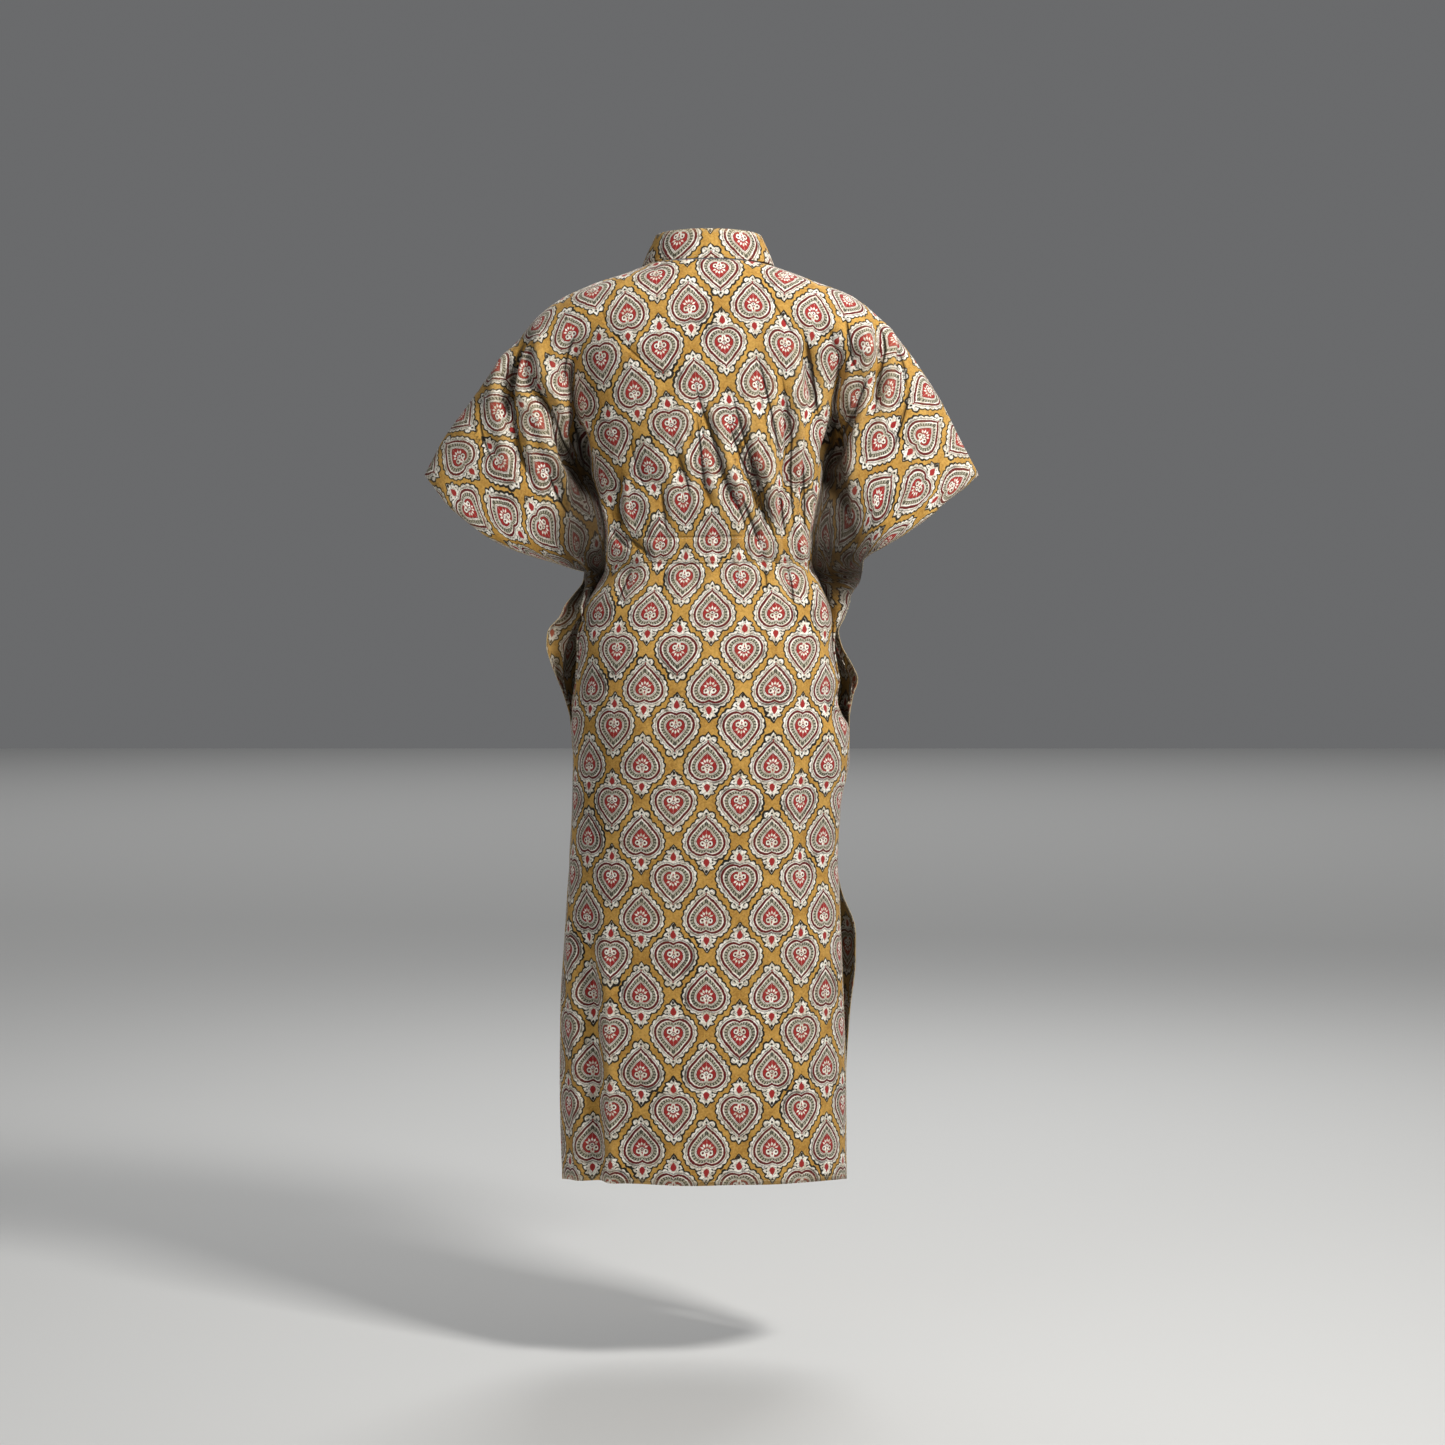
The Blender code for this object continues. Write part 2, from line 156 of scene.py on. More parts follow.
BODY = Table(("height", "back", "front", "squareness"), (
    (NECK_LEVEL, 0.070, 0.075, 2.0),
    (-0.030, 0.082, 0.080, 2.1),
    (-0.060, 0.092, 0.086, 2.3),
    (-0.100, 0.099, 0.094, 2.4),
    (-0.150, 0.103, 0.108, 2.3),
    (-0.200, 0.103, 0.121, 2.2),
    (-0.250, 0.100, 0.128, 2.1),
    (-0.300, 0.094, 0.117, 2.1),
    (WAIST_LEVEL, 0.086, 0.092, 2.1),
    (-0.450, 0.104, 0.098, 2.1),
    (-0.520, 0.121, 0.103, 2.1),
    (-0.600, 0.129, 0.106, 2.1),
    (-0.700, 0.127, 0.107, 2.1),
    (-0.850, 0.124, 0.108, 2.1),
    (-1.000, 0.123, 0.110, 2.1),
    (-1.190, 0.124, 0.113, 2.1),
))
VALLEY = Table(("height", "left", "right", "back", "front"), (
    (-0.079, 0.166, 0.176, 0.060, 0.060),
    (-0.120, 0.173, 0.170, 0.040, 0.044),
    (-0.160, 0.173, 0.164, 0.022, 0.028),
    (-0.200, 0.169, 0.159, 0.010, 0.014),
    (-0.255, 0.154, 0.149, 0.006, 0.008),
    (-0.300, 0.139, 0.141, 0.005, 0.006),
    (-0.340, 0.131, 0.134, 0.005, 0.006),
    (-0.385, 0.131, 0.134, 0.005, 0.006),
    (-0.410, 0.142, 0.143, 0.005, 0.006),
    (-0.435, 0.156, 0.152, 0.005, 0.006),
    (-0.480, 0.165, 0.158, 0.005, 0.006),
    (-0.530, 0.168, 0.163, 0.004, 0.005),
    (-0.600, 0.174, 0.175, 0.002, 0.002),
))
SLEEVE = Table(("height", "left_share", "right_share", "back", "front", "hollow"), (
    (-0.079, 0.30, 0.30, 0.072, 0.070, 0.0),
    (-0.120, 0.26, 0.26, 0.067, 0.066, 0.0),
    (-0.200, 0.18, 0.17, 0.060, 0.064, 0.1),
    (-0.255, 0.15, 0.14, 0.056, 0.062, 0.6),
    (-0.300, 0.18, 0.22, 0.056, 0.060, 1.0),
    (-0.335, 0.25, 0.38, 0.057, 0.056, 1.0),
    (-0.360, 0.32, 0.60, 0.054, 0.050, 1.0),
    (-0.380, 0.50, 0.80, 0.044, 0.040, 1.0),
    (-0.392, 0.70, 0.85, 0.024, 0.026, 0.5),
    (-0.420, 0.60, 0.70, 0.018, 0.016, 0.2),
    (-0.486, 0.65, 0.60, 0.022, 0.014, 0.0),
    (-0.550, 0.60, 0.60, 0.014, 0.010, 0.0),
    (-0.600, 0.50, 0.50, 0.003, 0.003, 0.0),
))
EDGE_COLUMNS = ("height", "left", "right", "opening")
SHOULDER_SEAM = Table(EDGE_COLUMNS, (
    (NECK_LEVEL, NECK_HALF_WIDTH, NECK_HALF_WIDTH, 0.0),
    (-0.017, 0.112, 0.115, 0.0),
    (-0.027, 0.144, 0.141, 0.0),
    (-0.037, 0.168, 0.169, 0.0),
    (SHOULDER_LEVEL, 0.185, 0.186, 0.0),
    (-0.070, 0.218, 0.217, 0.0),
    (-0.096, 0.240, 0.241, 0.0),
    (-0.122, 0.264, 0.261, 0.0),
    (-0.173, 0.301, 0.295, 0.0),
    (-0.224, 0.338, 0.321, 0.0),
    (SLEEVE_TIP_LEVEL, 0.362, 0.345, 0.0),
))
SLEEVE_HEM = Table(EDGE_COLUMNS, (
    (SLEEVE_TIP_LEVEL, 0.362, 0.345, 0.000),
    (-0.288, 0.346, 0.323, 0.022),
    (-0.305, 0.333, 0.300, 0.036),
    (-0.320, 0.317, 0.284, 0.044),
    (-0.335, 0.298, 0.264, 0.048),
    (-0.350, 0.277, 0.241, 0.048),
    (-0.362, 0.254, 0.221, 0.045),
    (-0.372, 0.226, 0.203, 0.038),
    (-0.380, 0.197, 0.196, 0.028),
    (-0.387, 0.177, 0.196, 0.014),
    (UNDERARM_LEVEL, 0.158, 0.196, 0.000),
))
UNDERARM_SEAM = Table(EDGE_COLUMNS, (
    (UNDERARM_LEVEL, 0.158, 0.196, 0.0),
    (-0.405, 0.160, 0.193, 0.0),
    (-0.420, 0.171, 0.183, 0.0),
    (-0.435, 0.183, 0.179, 0.0),
    (-0.450, 0.190, 0.174, 0.0),
    (-0.468, 0.205, 0.166, 0.0),
    (-0.486, 0.207, 0.170, 0.0),
    (-0.512, 0.200, 0.184, 0.0),
    (-0.530, 0.193, 0.191, 0.0),
    (-0.550, 0.185, 0.185, 0.0),
    (EAR_END_LEVEL, 0.177, 0.180, 0.0),
))
# The side seam, and how each panel's slit goes on below it
SIDE_SEAM = (
    (EAR_END_LEVEL, 0.177, 0.180, 0.0),
    (-0.630, 0.173, 0.180, 0.0),
    (-0.690, 0.174, 0.169, 0.0),
    (-0.772, 0.178, 0.165, 0.0),
)
BACK_SIDE = Table(EDGE_COLUMNS, (
    *SIDE_SEAM,
    (-0.800, 0.180, 0.167, 0.004),
    (-0.850, 0.183, 0.169, 0.010),
    (-0.950, 0.189, 0.173, 0.012),
    (-1.050, 0.190, 0.176, 0.010),
    (-1.190, 0.186, 0.177, 0.008),
))
FRONT_SIDE = Table(EDGE_COLUMNS, (
    *SIDE_SEAM,
    (-0.800, 0.178, 0.170, 0.003),
    (-0.855, 0.178, 0.189, 0.006),
    (-0.890, 0.180, 0.189, 0.008),
    (-0.954, 0.183, 0.182, 0.008),
    (-1.050, 0.184, 0.176, 0.007),
    (-1.190, 0.180, 0.173, 0.006),
))
# How far the back's edge is drawn in from the side opening below each arm, where the front's inside shows
BACK_DRAWN_IN = Table(("height", "left", "right"), (
    (-0.400, 0.000, 0.000),
    (-0.440, 0.022, 0.000),
    (-0.468, 0.040, 0.004),
    (-0.486, 0.040, 0.010),
    (-0.530, 0.024, 0.024),
    (-0.560, 0.008, 0.018),
    (-0.590, 0.000, 0.000),
))


@dataclass(frozen=True)
class Crease:
    """One fold, in mm: a line of places seen from the back, its width on each side and its depth."""

    line: tuple[Pair, ...]
    width_left: float
    width_right: float
    depth: float
    banks: float = 0.3
    start_share: float = 0.15
    end_share: float = 0.15
    softness: float = 1.3
    taper_length: float = 0.35
    bank_place: float = 1.9
    bank_width: float = 0.75
    steps: int = 10

    def route(self, steps: int) -> Places:
        """The fold's rounded line in metres, with this many steps between two of its places."""
        return smooth_line(np.array(self.line) / 1000.0, steps)

    def nearest(self, x: Places, z: Places) -> tuple[Places, Places]:
        """Where each place lies beside the fold's line.

        Args:
            x: the places' x.
            z: the places' z.

        Returns:
            How many mm away the line is, above zero on its right, and the share of its length there.
        """
        line = self.route(self.steps)
        steps = np.diff(line, axis=0)
        lengths = np.hypot(*steps.T)
        run = run_of(line)
        best = np.full(x.shape, np.inf)
        side = np.zeros(x.shape)
        share = np.zeros(x.shape)
        for number, ((ax, az), (dx, dz), length) in enumerate(zip(line[:-1], steps, lengths)):
            along = np.clip(((x - ax) * dx + (z - az) * dz) / length**2, 0.0, 1.0)
            off_x, off_z = x - ax - along * dx, z - az - along * dz
            away = np.hypot(off_x, off_z)
            nearer = away < best
            best = np.where(nearer, away, best)
            side = np.where(nearer, off_x * -dz + off_z * dx, side)
            share = np.where(nearer, (run[number] + along * length) / run[-1], share)
        return np.where(side > 0.0, best, -best) * 1000.0, share

    def taper(self, share: Places) -> Places:
        """How much of its depth the fold keeps at a share of its length."""
        start = self.start_share + (1.0 - self.start_share) * smooth_step(share, 0.0, self.taper_length)
        return start * (1.0 - (1.0 - self.end_share) * smooth_step(share, 1.0 - self.taper_length, 1.0))

    def depth_at(self, x: Places, z: Places) -> Places:
        """How deep this fold presses the cloth in.

        Args:
            x: the places' x.
            z: the places' z.

        Returns:
            The depth in metres at each place, below zero on the fold's banks.
        """
        away, share = self.nearest(x, z)
        reach = np.abs(away) / np.where(away > 0.0, self.width_right, self.width_left)
        trough = np.exp(-(reach**self.softness))
        bank = np.exp(-(((reach - self.bank_place) / self.bank_width) ** 2))
        return self.depth / 1000.0 * self.taper(share) * (trough - self.banks * bank)


def smooth_step(value: Places | float, start: float, end: float) -> Places:
    """Goes from 0 at start to 1 at end, level at both."""
    share = np.clip((value - start) / (end - start), 0.0, 1.0)
    return share * share * (3.0 - 2.0 * share)


def smooth_line(places: Places, steps: int) -> Places:
    """A rounded line through the places.

    Args:
        places: the places, in order.
        steps: how many steps to take between two of them.

    Returns:
        The line's own places.
    """
    padded = np.vstack([2.0 * places[0] - places[1], places, 2.0 * places[-1] - places[-2]])
    share = np.linspace(0.0, 1.0, steps, endpoint=False)[:, None]
    parts = []
    for a, b, c, d in zip(padded[:-3], padded[1:-2], padded[2:-1], padded[3:]):
        parts.append(
            0.5
            * (
                2.0 * b
                + (c - a) * share
                + (2.0 * a - 5.0 * b + 4.0 * c - d) * share**2
                + (3.0 * b - a - 3.0 * c + d) * share**3
            )
        )
    return np.vstack([*parts, places[-1:]])


# Folds from the shoulders down: line, width left and right, depth, banks, and the share kept at each end
BACK_CREASES = (
    # left sleeve
    Crease(((-222, -88), (-240, -118), (-248, -150), (-254, -180), (-262, -206)), 10, 5.5, 19, 0.35, 0.0),
    Crease(
        ((-222, -129), (-215, -162), (-195, -197), (-185, -228), (-170, -256), (-160, -288)),
        10, 7, 18, 0.35,
    ),
    Crease(((-246, -140), (-246, -175), (-242, -220), (-230, -262), (-216, -290)), 10, 6, 12),
    Crease(((-209, -84), (-212, -122), (-207, -165)), 8, 9, -8.4, 0.1),
    Crease(((-290, -182), (-286, -220), (-270, -262)), 12, 14, 4.2),
    Crease(((-165, -90), (-180, -130), (-182, -165)), 8, 10, 5.6),
    Crease(((-205, -262), (-190, -300), (-172, -330)), 8, 10, 5.6),
    # the dark pockets between body and sleeves
    Crease(((-176, -190), (-166, -225), (-156, -280)), 14, 10, 14, 0.1),
    Crease(((166, -180), (158, -220), (152, -270)), 10, 14, 16, 0.1),
    # right sleeve
    Crease(
        ((204, -66), (213, -80), (220, -96), (222, -116), (217, -142), (211, -182), (205, -209)),
        10, 6, 19, 0.35, 0.0,
    ),
    Crease(((206, -134), (196, -160), (186, -186), (166, -228), (156, -254)), 10, 6, 18, 0.35),
    Crease(((170, -70), (176, -98), (179, -124), (188, -143)), 8, 10, 7),
    Crease(((255, -150), (245, -200), (228, -250)), 13, 14, 5.6),
    Crease(((235, -105), (246, -135), (250, -170)), 9, 9, 5.6),
    # shoulder blades
    Crease(((-138, -50), (-120, -94), (-63, -150), (-48, -170)), 6, 6, 2.2, 0.6),
    Crease(((118, -90), (128, -130), (138, -200)), 10, 11, 7),
    Crease(((70, -40), (94, -80), (112, -110)), 10, 12, 3.1),
    Crease(((-100, -215), (-90, -262), (-75, -300)), 12, 12, 3.1),
    # gathers running up from the casing, each steep on the side away from the light
    Crease(((22, -200), (34, -236), (49, -276), (59, -308), (60, -343)), 10, 4.8, 9.7, 0.45),
    Crease(((50, -236), (63, -276), (70, -298), (83, -340)), 9, 4.6, 9.1, 0.45),
    Crease(((90, -145), (99, -190), (104, -222), (103, -276), (107, -352)), 12, 5.5, 16.9, 0.4),
    Crease(((40, -296), (50, -322), (66, -366)), 8, 4.5, 6.5, 0.45),
    Crease(((62, -300), (74, -326), (83, -352)), 7, 4.5, 5.9, 0.45),
    Crease(((88, -290), (92, -318), (96, -350)), 7, 4.5, 6.5, 0.45),
    Crease(((-16, -193), (-10, -240), (-4, -286), (8, -318)), 10, 5.5, 6, 0.4),
    Crease(((-42, -238), (-30, -270), (-22, -304)), 9, 5.5, 5.7, 0.4),
    Crease(((-20, -150), (-8, -190), (8, -232), (22, -276), (43, -328), (52, -360)), 10, 5, 8.1, 0.4),
    Crease(((26, -160), (38, -205), (47, -236), (60, -276), (76, -360)), 10, 5, 7.8, 0.4),
    Crease(((60, -120), (72, -170), (84, -226), (90, -270)), 10, 5.5, 6.5, 0.4),
    Crease(((117, -100), (128, -136), (139, -212)), 9, 6, 7.8, 0.4),
    Crease(((118, -250), (120, -300), (121, -352)), 7, 4.5, 9.1, 0.4),
    Crease(((-108, -262), (-113, -310), (-104, -350)), 9, 5, 6.5, 0.4),
    Crease(((-60, -280), (-56, -316), (-52, -350)), 9, 5.5, 3.9, 0.4),
    Crease(((-112, -343), (-80, -367), (-70, -384)), 6, 5.5, 6),
    Crease(((-124, -336), (-110, -356), (-94, -368)), 5, 5, 4.5),
    # the casing's two seams
    Crease(((-128, -347), (-60, -351), (20, -350), (128, -346)), 4.5, 4.5, 1.6, 0.3, 0.5, 0.5),
    Crease(((-128, -379), (-60, -384), (20, -384), (128, -380)), 4.5, 4.5, 1.6, 0.3, 0.5, 0.5),
    # short gathers under the casing
    Crease(((98, -384), (104, -410), (106, -440)), 7, 8, 5.6),
    Crease(((68, -384), (72, -404), (72, -425)), 7, 7, 3.6),
    Crease(((36, -386), (36, -404), (33, -430)), 7, 7, 2.8),
    Crease(((-10, -386), (-14, -408), (-18, -430)), 7, 7, 2.5),
    Crease(((-52, -388), (-56, -408), (-64, -430)), 7, 7, 2.8),
    Crease(((-96, -388), (-106, -412), (-118, -440)), 7, 8, 4.2),
    # skirt
    Crease(
        ((-160, -790), (-152, -900), (-147, -1040), (-143, -1190)),
        10, 13, 12.6, 0.35, 0.0, 0.9, softness=2.0,
    ),
    Crease(((120, -560), (128, -700), (132, -860)), 16, 16, 3.6, 0.3, 0.0, 0.1, softness=2.0),
    Crease(((-40, -470), (-48, -560), (-52, -660)), 20, 20, 2.8, 0.3, 0.0, 0.0, softness=2.0),
    Crease(((50, -480), (56, -560), (60, -650)), 18, 20, 2.5, 0.3, 0.0, 0.0, softness=2.0),
    Crease(((30, -1060), (34, -1110), (30, -1190)), 26, 30, 4.2, 0.3, 0.0, 0.9, softness=2.0),
    Crease(((-80, -1090), (-84, -1130), (-82, -1190)), 22, 26, 3.6, 0.3, 0.0, 0.9, softness=2.0),
    # soft cross folds near the hem
    Crease(((-120, -1108), (-60, -1118), (0, -1112)), 8, 10, 1.7, softness=2.0),
    Crease(((20, -1096), (70, -1106), (120, -1098)), 8, 9, 1.7, softness=2.0),
    Crease(((-60, -1148), (10, -1156), (90, -1150)), 8, 9, 1.4, softness=2.0),
)
FRONT_CREASES = (
    Crease(((-232, -95), (-244, -130), (-250, -180), (-252, -230)), 10, 8, 11),
    Crease(((-216, -130), (-200, -180), (-180, -240), (-166, -290)), 9, 12, 11),
    Crease(((222, -90), (231, -140), (236, -220)), 10, 10, 10),
    Crease(((206, -130), (190, -180), (172, -230), (162, -270)), 11, 8, 11),
    Crease(((-110, -120), (-98, -190), (-94, -250), (-98, -340)), 12, 12, 5),
    Crease(((112, -120), (100, -190), (98, -250), (100, -340)), 12, 12, 5.5),
    Crease(((-70, -232), (-77, -290), (-82, -350)), 8, 8, 5.5),
    Crease(((75, -222), (79, -290), (84, -350)), 8, 8, 5.5),
    Crease(((-30, -262), (-34, -310), (-36, -350)), 7, 7, 4.5),
    Crease(((34, -268), (38, -310), (40, -350)), 7, 7, 4.5),
    Crease(((-52, -290), (-56, -320), (-58, -352)), 6, 6, 3.5),
    Crease(((56, -286), (60, -320), (62, -352)), 6, 6, 3.5),
    Crease(((-80, -386), (-86, -420), (-92, -450)), 7, 7, 3),
    Crease(((-30, -386), (-34, -420), (-38, -440)), 7, 7, 2.5),
    Crease(((40, -386), (44, -420), (48, -446)), 7, 7, 2.8),
    Crease(((90, -386), (98, -420), (106, -452)), 7, 7, 3),
    Crease(((110, -840), (116, -1000), (118, -1190)), 16, 18, 9, 0.3, 0.0, 0.9, softness=2.0),
    Crease(((-60, -760), (-64, -960), (-70, -1190)), 18, 20, 7, 0.3, 0.0, 0.9, softness=2.0),
    Crease(((30, -900), (32, -1040), (36, -1190)), 22, 22, 4, 0.3, 0.0, 0.9, softness=2.0),
)


@dataclass(frozen=True)
class FoldLines:
    """How far each place lies beside the nearest fold, for the finish to draw the fold's sharp line as a bump
    and as painted shade.

    Sizes are in mm. Three channels share the folds out, so that folds close together are read apart.
    """

    creases: tuple[Crease, ...]
    reach: float = 9.0
    share_of_depth: float = 0.70
    deepest: float = 4.6
    least_softness: float = 2.0
    faded_from: float = 0.6
    faded_ends: float = 0.08

    def channels(self) -> list[list[Crease]]:
        """Puts each sharp fold in the channel whose own folds lie farthest from it.

        Returns:
            The three channels' folds.
        """
        shared: list[list[Crease]] = [[], [], []]
        for crease in self.creases:
            if crease.depth <= 0.0 or crease.softness >= self.least_softness:
                continue
            own = crease.route(4)
            rooms = []
            for others in shared:
                lines = [other.route(4) for other in others]
                rooms.append(min((np.abs(own[:, None] - line).sum(-1).min() for line in lines), default=1.0))
            shared[int(np.argmax(rooms))].append(crease)
        return shared

    def read(self, points: Places) -> tuple[Places, Places]:
        """Reads the folds at the lattice's places.

        Args:
            points: the lattice's places.

        Returns:
            For each channel, how far to the right of its nearest fold the place lies, and how sharp that is.
        """
        away = np.full(points.shape, self.reach)
        deep = np.zeros(points.shape)
        for channel, creases in enumerate(self.channels()):
            for crease in creases:
                distance, share = crease.nearest(points[..., 0], points[..., 2])
                nearer = np.abs(distance) < np.abs(away[..., channel])
                fading = 1.0 - smooth_step(np.abs(distance), self.faded_from * self.reach, self.reach)
                fading = fading * smooth_step(share, 0.0, self.faded_ends)
                fading = fading * (1.0 - smooth_step(share, 1.0 - self.faded_ends, 1.0))
                deepest = min(crease.depth * self.share_of_depth, self.deepest)
                strength = deepest * crease.taper(share) * fading
                away[..., channel] = np.where(nearer, distance, away[..., channel])
                deep[..., channel] = np.where(nearer, strength, deep[..., channel])
        return away, deep


@dataclass(frozen=True)
class Gathers:
    """Uneven small waves that the hidden elastic draws into the cloth at the waist."""

    level: float = WAIST_LEVEL
    half_height: float = 0.034
    wavelength: float = 0.017
    left_depth: float = 0.0008
    right_depth: float = 0.0026
    right_from: Pair = (-0.02, 0.07)
    drift_size: float = 1.3
    drift_length: float = 0.094
    slant: float = 14.0
    wave_shares: Pair = (0.7, 0.35)
    second_wave: float = 0.61

    def height_at(self, x: Places, z: Places) -> Places:
        """How far the waves lift the cloth.

        Args:
            x: the places' x.
            z: the places' z.

        Returns:
            The lift at each place.
        """
        turn = 2.0 * math.pi * x / self.wavelength
        drift = self.drift_size * np.sin(2.0 * math.pi * x / self.drift_length)
        drift = drift + self.slant * (z - self.level)
        first, second = self.wave_shares
        wave = first * np.sin(turn + drift) + second * np.sin(self.second_wave * turn + 2.0 - 1.7 * drift)
        near = np.exp(-(((z - self.level) / self.half_height) ** 4))
        depth = self.left_depth + (self.right_depth - self.left_depth) * smooth_step(x, *self.right_from)
        return wave * near * depth


@dataclass(frozen=True)
class Lattice:
    """One panel's places by row and column, with the rows' heights and each place's share of the way out."""

    face: Face
    heights: Places
    points: Places
    share: Places

    @property
    def levels(self) -> Places:
        """The rows' heights as one column, to set against the places."""
        return self.heights[:, None]

    @property
    def last(self) -> tuple[int, int]:
        """The last row and the last column."""
        return self.share.shape[0] - 1, self.share.shape[1] - 1

    def outwards(self) -> Places:
        """Each place's direction away from the hollow."""
        return outwards(self.points, self.face)


@dataclass(frozen=True)
class PanelForm:
    """The draped form of one panel, with its rows of faces from each of LEVELS to the next."""

    face: Face
    columns: int
    rows: tuple[int, ...]
    creases: tuple[Crease, ...]
    gathers: Gathers = field(default_factory=Gathers)

    def row_heights(self) -> Places:
        """Spaces the rows out at the side, from the neck to the hem.

        Returns:
            Each row's height.
        """
        parts = [LEVELS[:1]]
        for top, end, rows in zip(LEVELS, LEVELS[1:], self.rows):
            parts.append(np.linspace(top, end, rows + 1)[1:])
        return np.concatenate(parts)

    def edge(self, heights: Places, side: Side) -> tuple[Places, Places]:
        """How far out and how deep the panel's outer edge lies.

        Args:
            heights: the rows' heights.
            side: the half of the panel.

        Returns:
            The way out and the depth, one of each for each row.
        """
        last = BACK_SIDE if self.face is Face.BACK else FRONT_SIDE
        out = last.read(side.value, heights)
        opening = last.read("opening", heights)
        for table in (UNDERARM_SEAM, SLEEVE_HEM, SHOULDER_SEAM):
            above = heights >= table.lowest - TINY
            out = np.where(above, table.read(side.value, heights), out)
            opening = np.where(above, table.read("opening", heights), opening)
        if self.face is Face.BACK:
            drawn_in = BACK_DRAWN_IN.read(side.value, heights)
            out = out - drawn_in
            opening = opening + OPENING_OVER_DRAWN_IN * drawn_in
        return out, opening + SEAM_GAP / 2.0

    def sections(self, side: Side, shares: Places) -> Places:
        """Every section of one half of the panel.

        Args:
            side: the half of the panel.
            shares: each column's share of the way from the centre line to the edge, for each row.

        Returns:
            The way out and the depth at each row and column.
        """
        heights = self.row_heights()
        face = self.face.value
        outs, rims = self.edge(heights, side)
        depths = BODY.read(face, heights)
        squares = BODY.read("squareness", heights)
        narrowing = smooth_step(heights, *BODY_SHARE_SPREAD)
        beside = smooth_step(heights, *OVAL_TO_SLEEVES)
        valley_out = np.minimum(VALLEY.read(side.value, heights), outs - SLEEVE_LEAST_REACH)
        valley_deep = np.maximum(VALLEY.read(face, heights), rims)
        valley_out = valley_out + (outs - valley_out) * narrowing
        valley_deep = valley_deep + (rims - valley_deep) * narrowing
        crest_share = SLEEVE.read(side.value + "_share", heights)
        crest_deep = np.maximum(SLEEVE.read(face, heights), rims)
        hollows = SLEEVE.read("hollow", heights) * (1.0 if self.face is Face.BACK else FRONT_HOLLOW_SHARE)
        body_shares = BODY_SHARE + (1.0 - BODY_SHARE) * narrowing
        rows = []
        for row, (out, rim, depth, square) in enumerate(zip(outs, rims, depths, squares)):
            share = shares[row]
            plain = spread(oval(out, depth, square, rim), share)
            if beside[row] == 0.0:
                rows.append(plain)
                continue
            valley = np.array([valley_out[row], valley_deep[row]])
            squeeze = (1.0 - (valley[1] / depth) ** square) ** (1.0 / square)
            body = oval(valley[0] / squeeze, depth, square, 0.0)
            body = np.vstack([body[body[:, 0] < valley[0] - TINY], valley])
            crest = (valley[0] + (out - valley[0]) * crest_share[row], crest_deep[row])
            sleeve = sleeve_sheet(valley, crest, (out, rim), hollows[row])
            body_share = body_shares[row]
            on_body = spread(body, np.clip(share / body_share, 0.0, 1.0))
            past = np.clip((share - body_share) / max(1.0 - body_share, TINY), 0.0, 1.0)
            folded = np.where((share <= body_share)[:, None], on_body, spread(sleeve, past))
            rows.append(plain + (folded - plain) * beside[row])
        return np.array(rows)

    def column_shares(self, side: Side) -> Places:
        """Shares one half's columns out, with room for the neck slit where the panel has one.

        Args:
            side: the half of the panel.

        Returns:
            Each column's share of the way from the centre line to the edge, for each row.
        """
        across = np.linspace(-1.0, 1.0, self.columns + 1)
        own = across < 0.0 if side is Side.LEFT else across >= 0.0
        shares = np.abs(across[own])
        heights = self.row_heights()
        if self.columns % 2 == 0:
            return np.tile(shares, (len(heights), 1))
        middle = 1.0 / self.columns
        first = NECK_SLIT_HALF_WIDTH / (NECK_LENGTH_OVER_WIDTH * self.edge(heights, side)[0])
        past = (shares - middle) / (1.0 - middle)
        return first[:, None] + past[None, :] * (1.0 - first[:, None])

    def lattice(self) -> Lattice:
        """The whole panel, with its folds and gathers.

        Returns:
            The panel's lattice.
        """
        rows = self.row_heights()
        heights = rows[:, None]
        halves, shares = [], []
        for side in Side:
            share = self.column_shares(side)
            section = self.sections(side, share)
            fade = 1.0 - smooth_step(NECK_LEVEL - heights, 0.0, NECK_CURVE_FADE)
            across = np.cos(share * math.pi / 2.0)
            if self.face is Face.BACK:
                curve = NECK_BACK_RISE * across * fade
            else:
                curve = -NECK_FRONT_DROP * np.clip(across, 0.0, 1.0) ** 1.5 * fade
            z = heights + curve - HEM_SIDE_DROP * share**4 * smooth_step(heights, HEM_CURVE_FROM, HEM_LEVEL)
            x, y = side.way * section[..., 0], self.face.way * section[..., 1]
            halves.append(np.stack([x, y, z], axis=-1))
            shares.append(share)
        points = np.concatenate(halves, axis=1)
        share = np.concatenate(shares, axis=1)
        return Lattice(self.face, rows, self.pressed(points, share), share)

    def pressed(self, points: Places, share: Places) -> Places:
        """Presses the folds and gathers in.

        Args:
            points: the smooth places.
            share: each place's share of the way to the edge.

        Returns:
            The folded places.
        """
        x, z = points[..., 0], points[..., 2]
        depth = sum(crease.depth_at(x, z) for crease in self.creases)
        lift = self.gathers.height_at(x, z) * (share <= BODY_SHARE + 0.02) - depth
        inside = np.clip((1.0 - share) / EDGE_KEPT_FLAT, 0.0, 1.0)
        points = points + outwards(points, self.face) * (lift * inside)[..., None]
        points[..., 1] = self.face.way * np.maximum(points[..., 1] * self.face.way, SEAM_GAP / 2.0)
        return points


def outwards(points: Places, face: Face) -> Places:
    """Each lattice place's direction away from the hollow.

    Args:
        points: the lattice.
        face: the side of the garment.

    Returns:
        Unit vectors.
    """
    down = np.gradient(points, axis=0)
    along = np.gradient(points, axis=1)
    normal = np.cross(along, down)
    normal /= np.maximum(np.linalg.norm(normal, axis=-1, keepdims=True), TINY * TINY)
    return normal * np.sign((normal[..., 1] * face.way).sum())


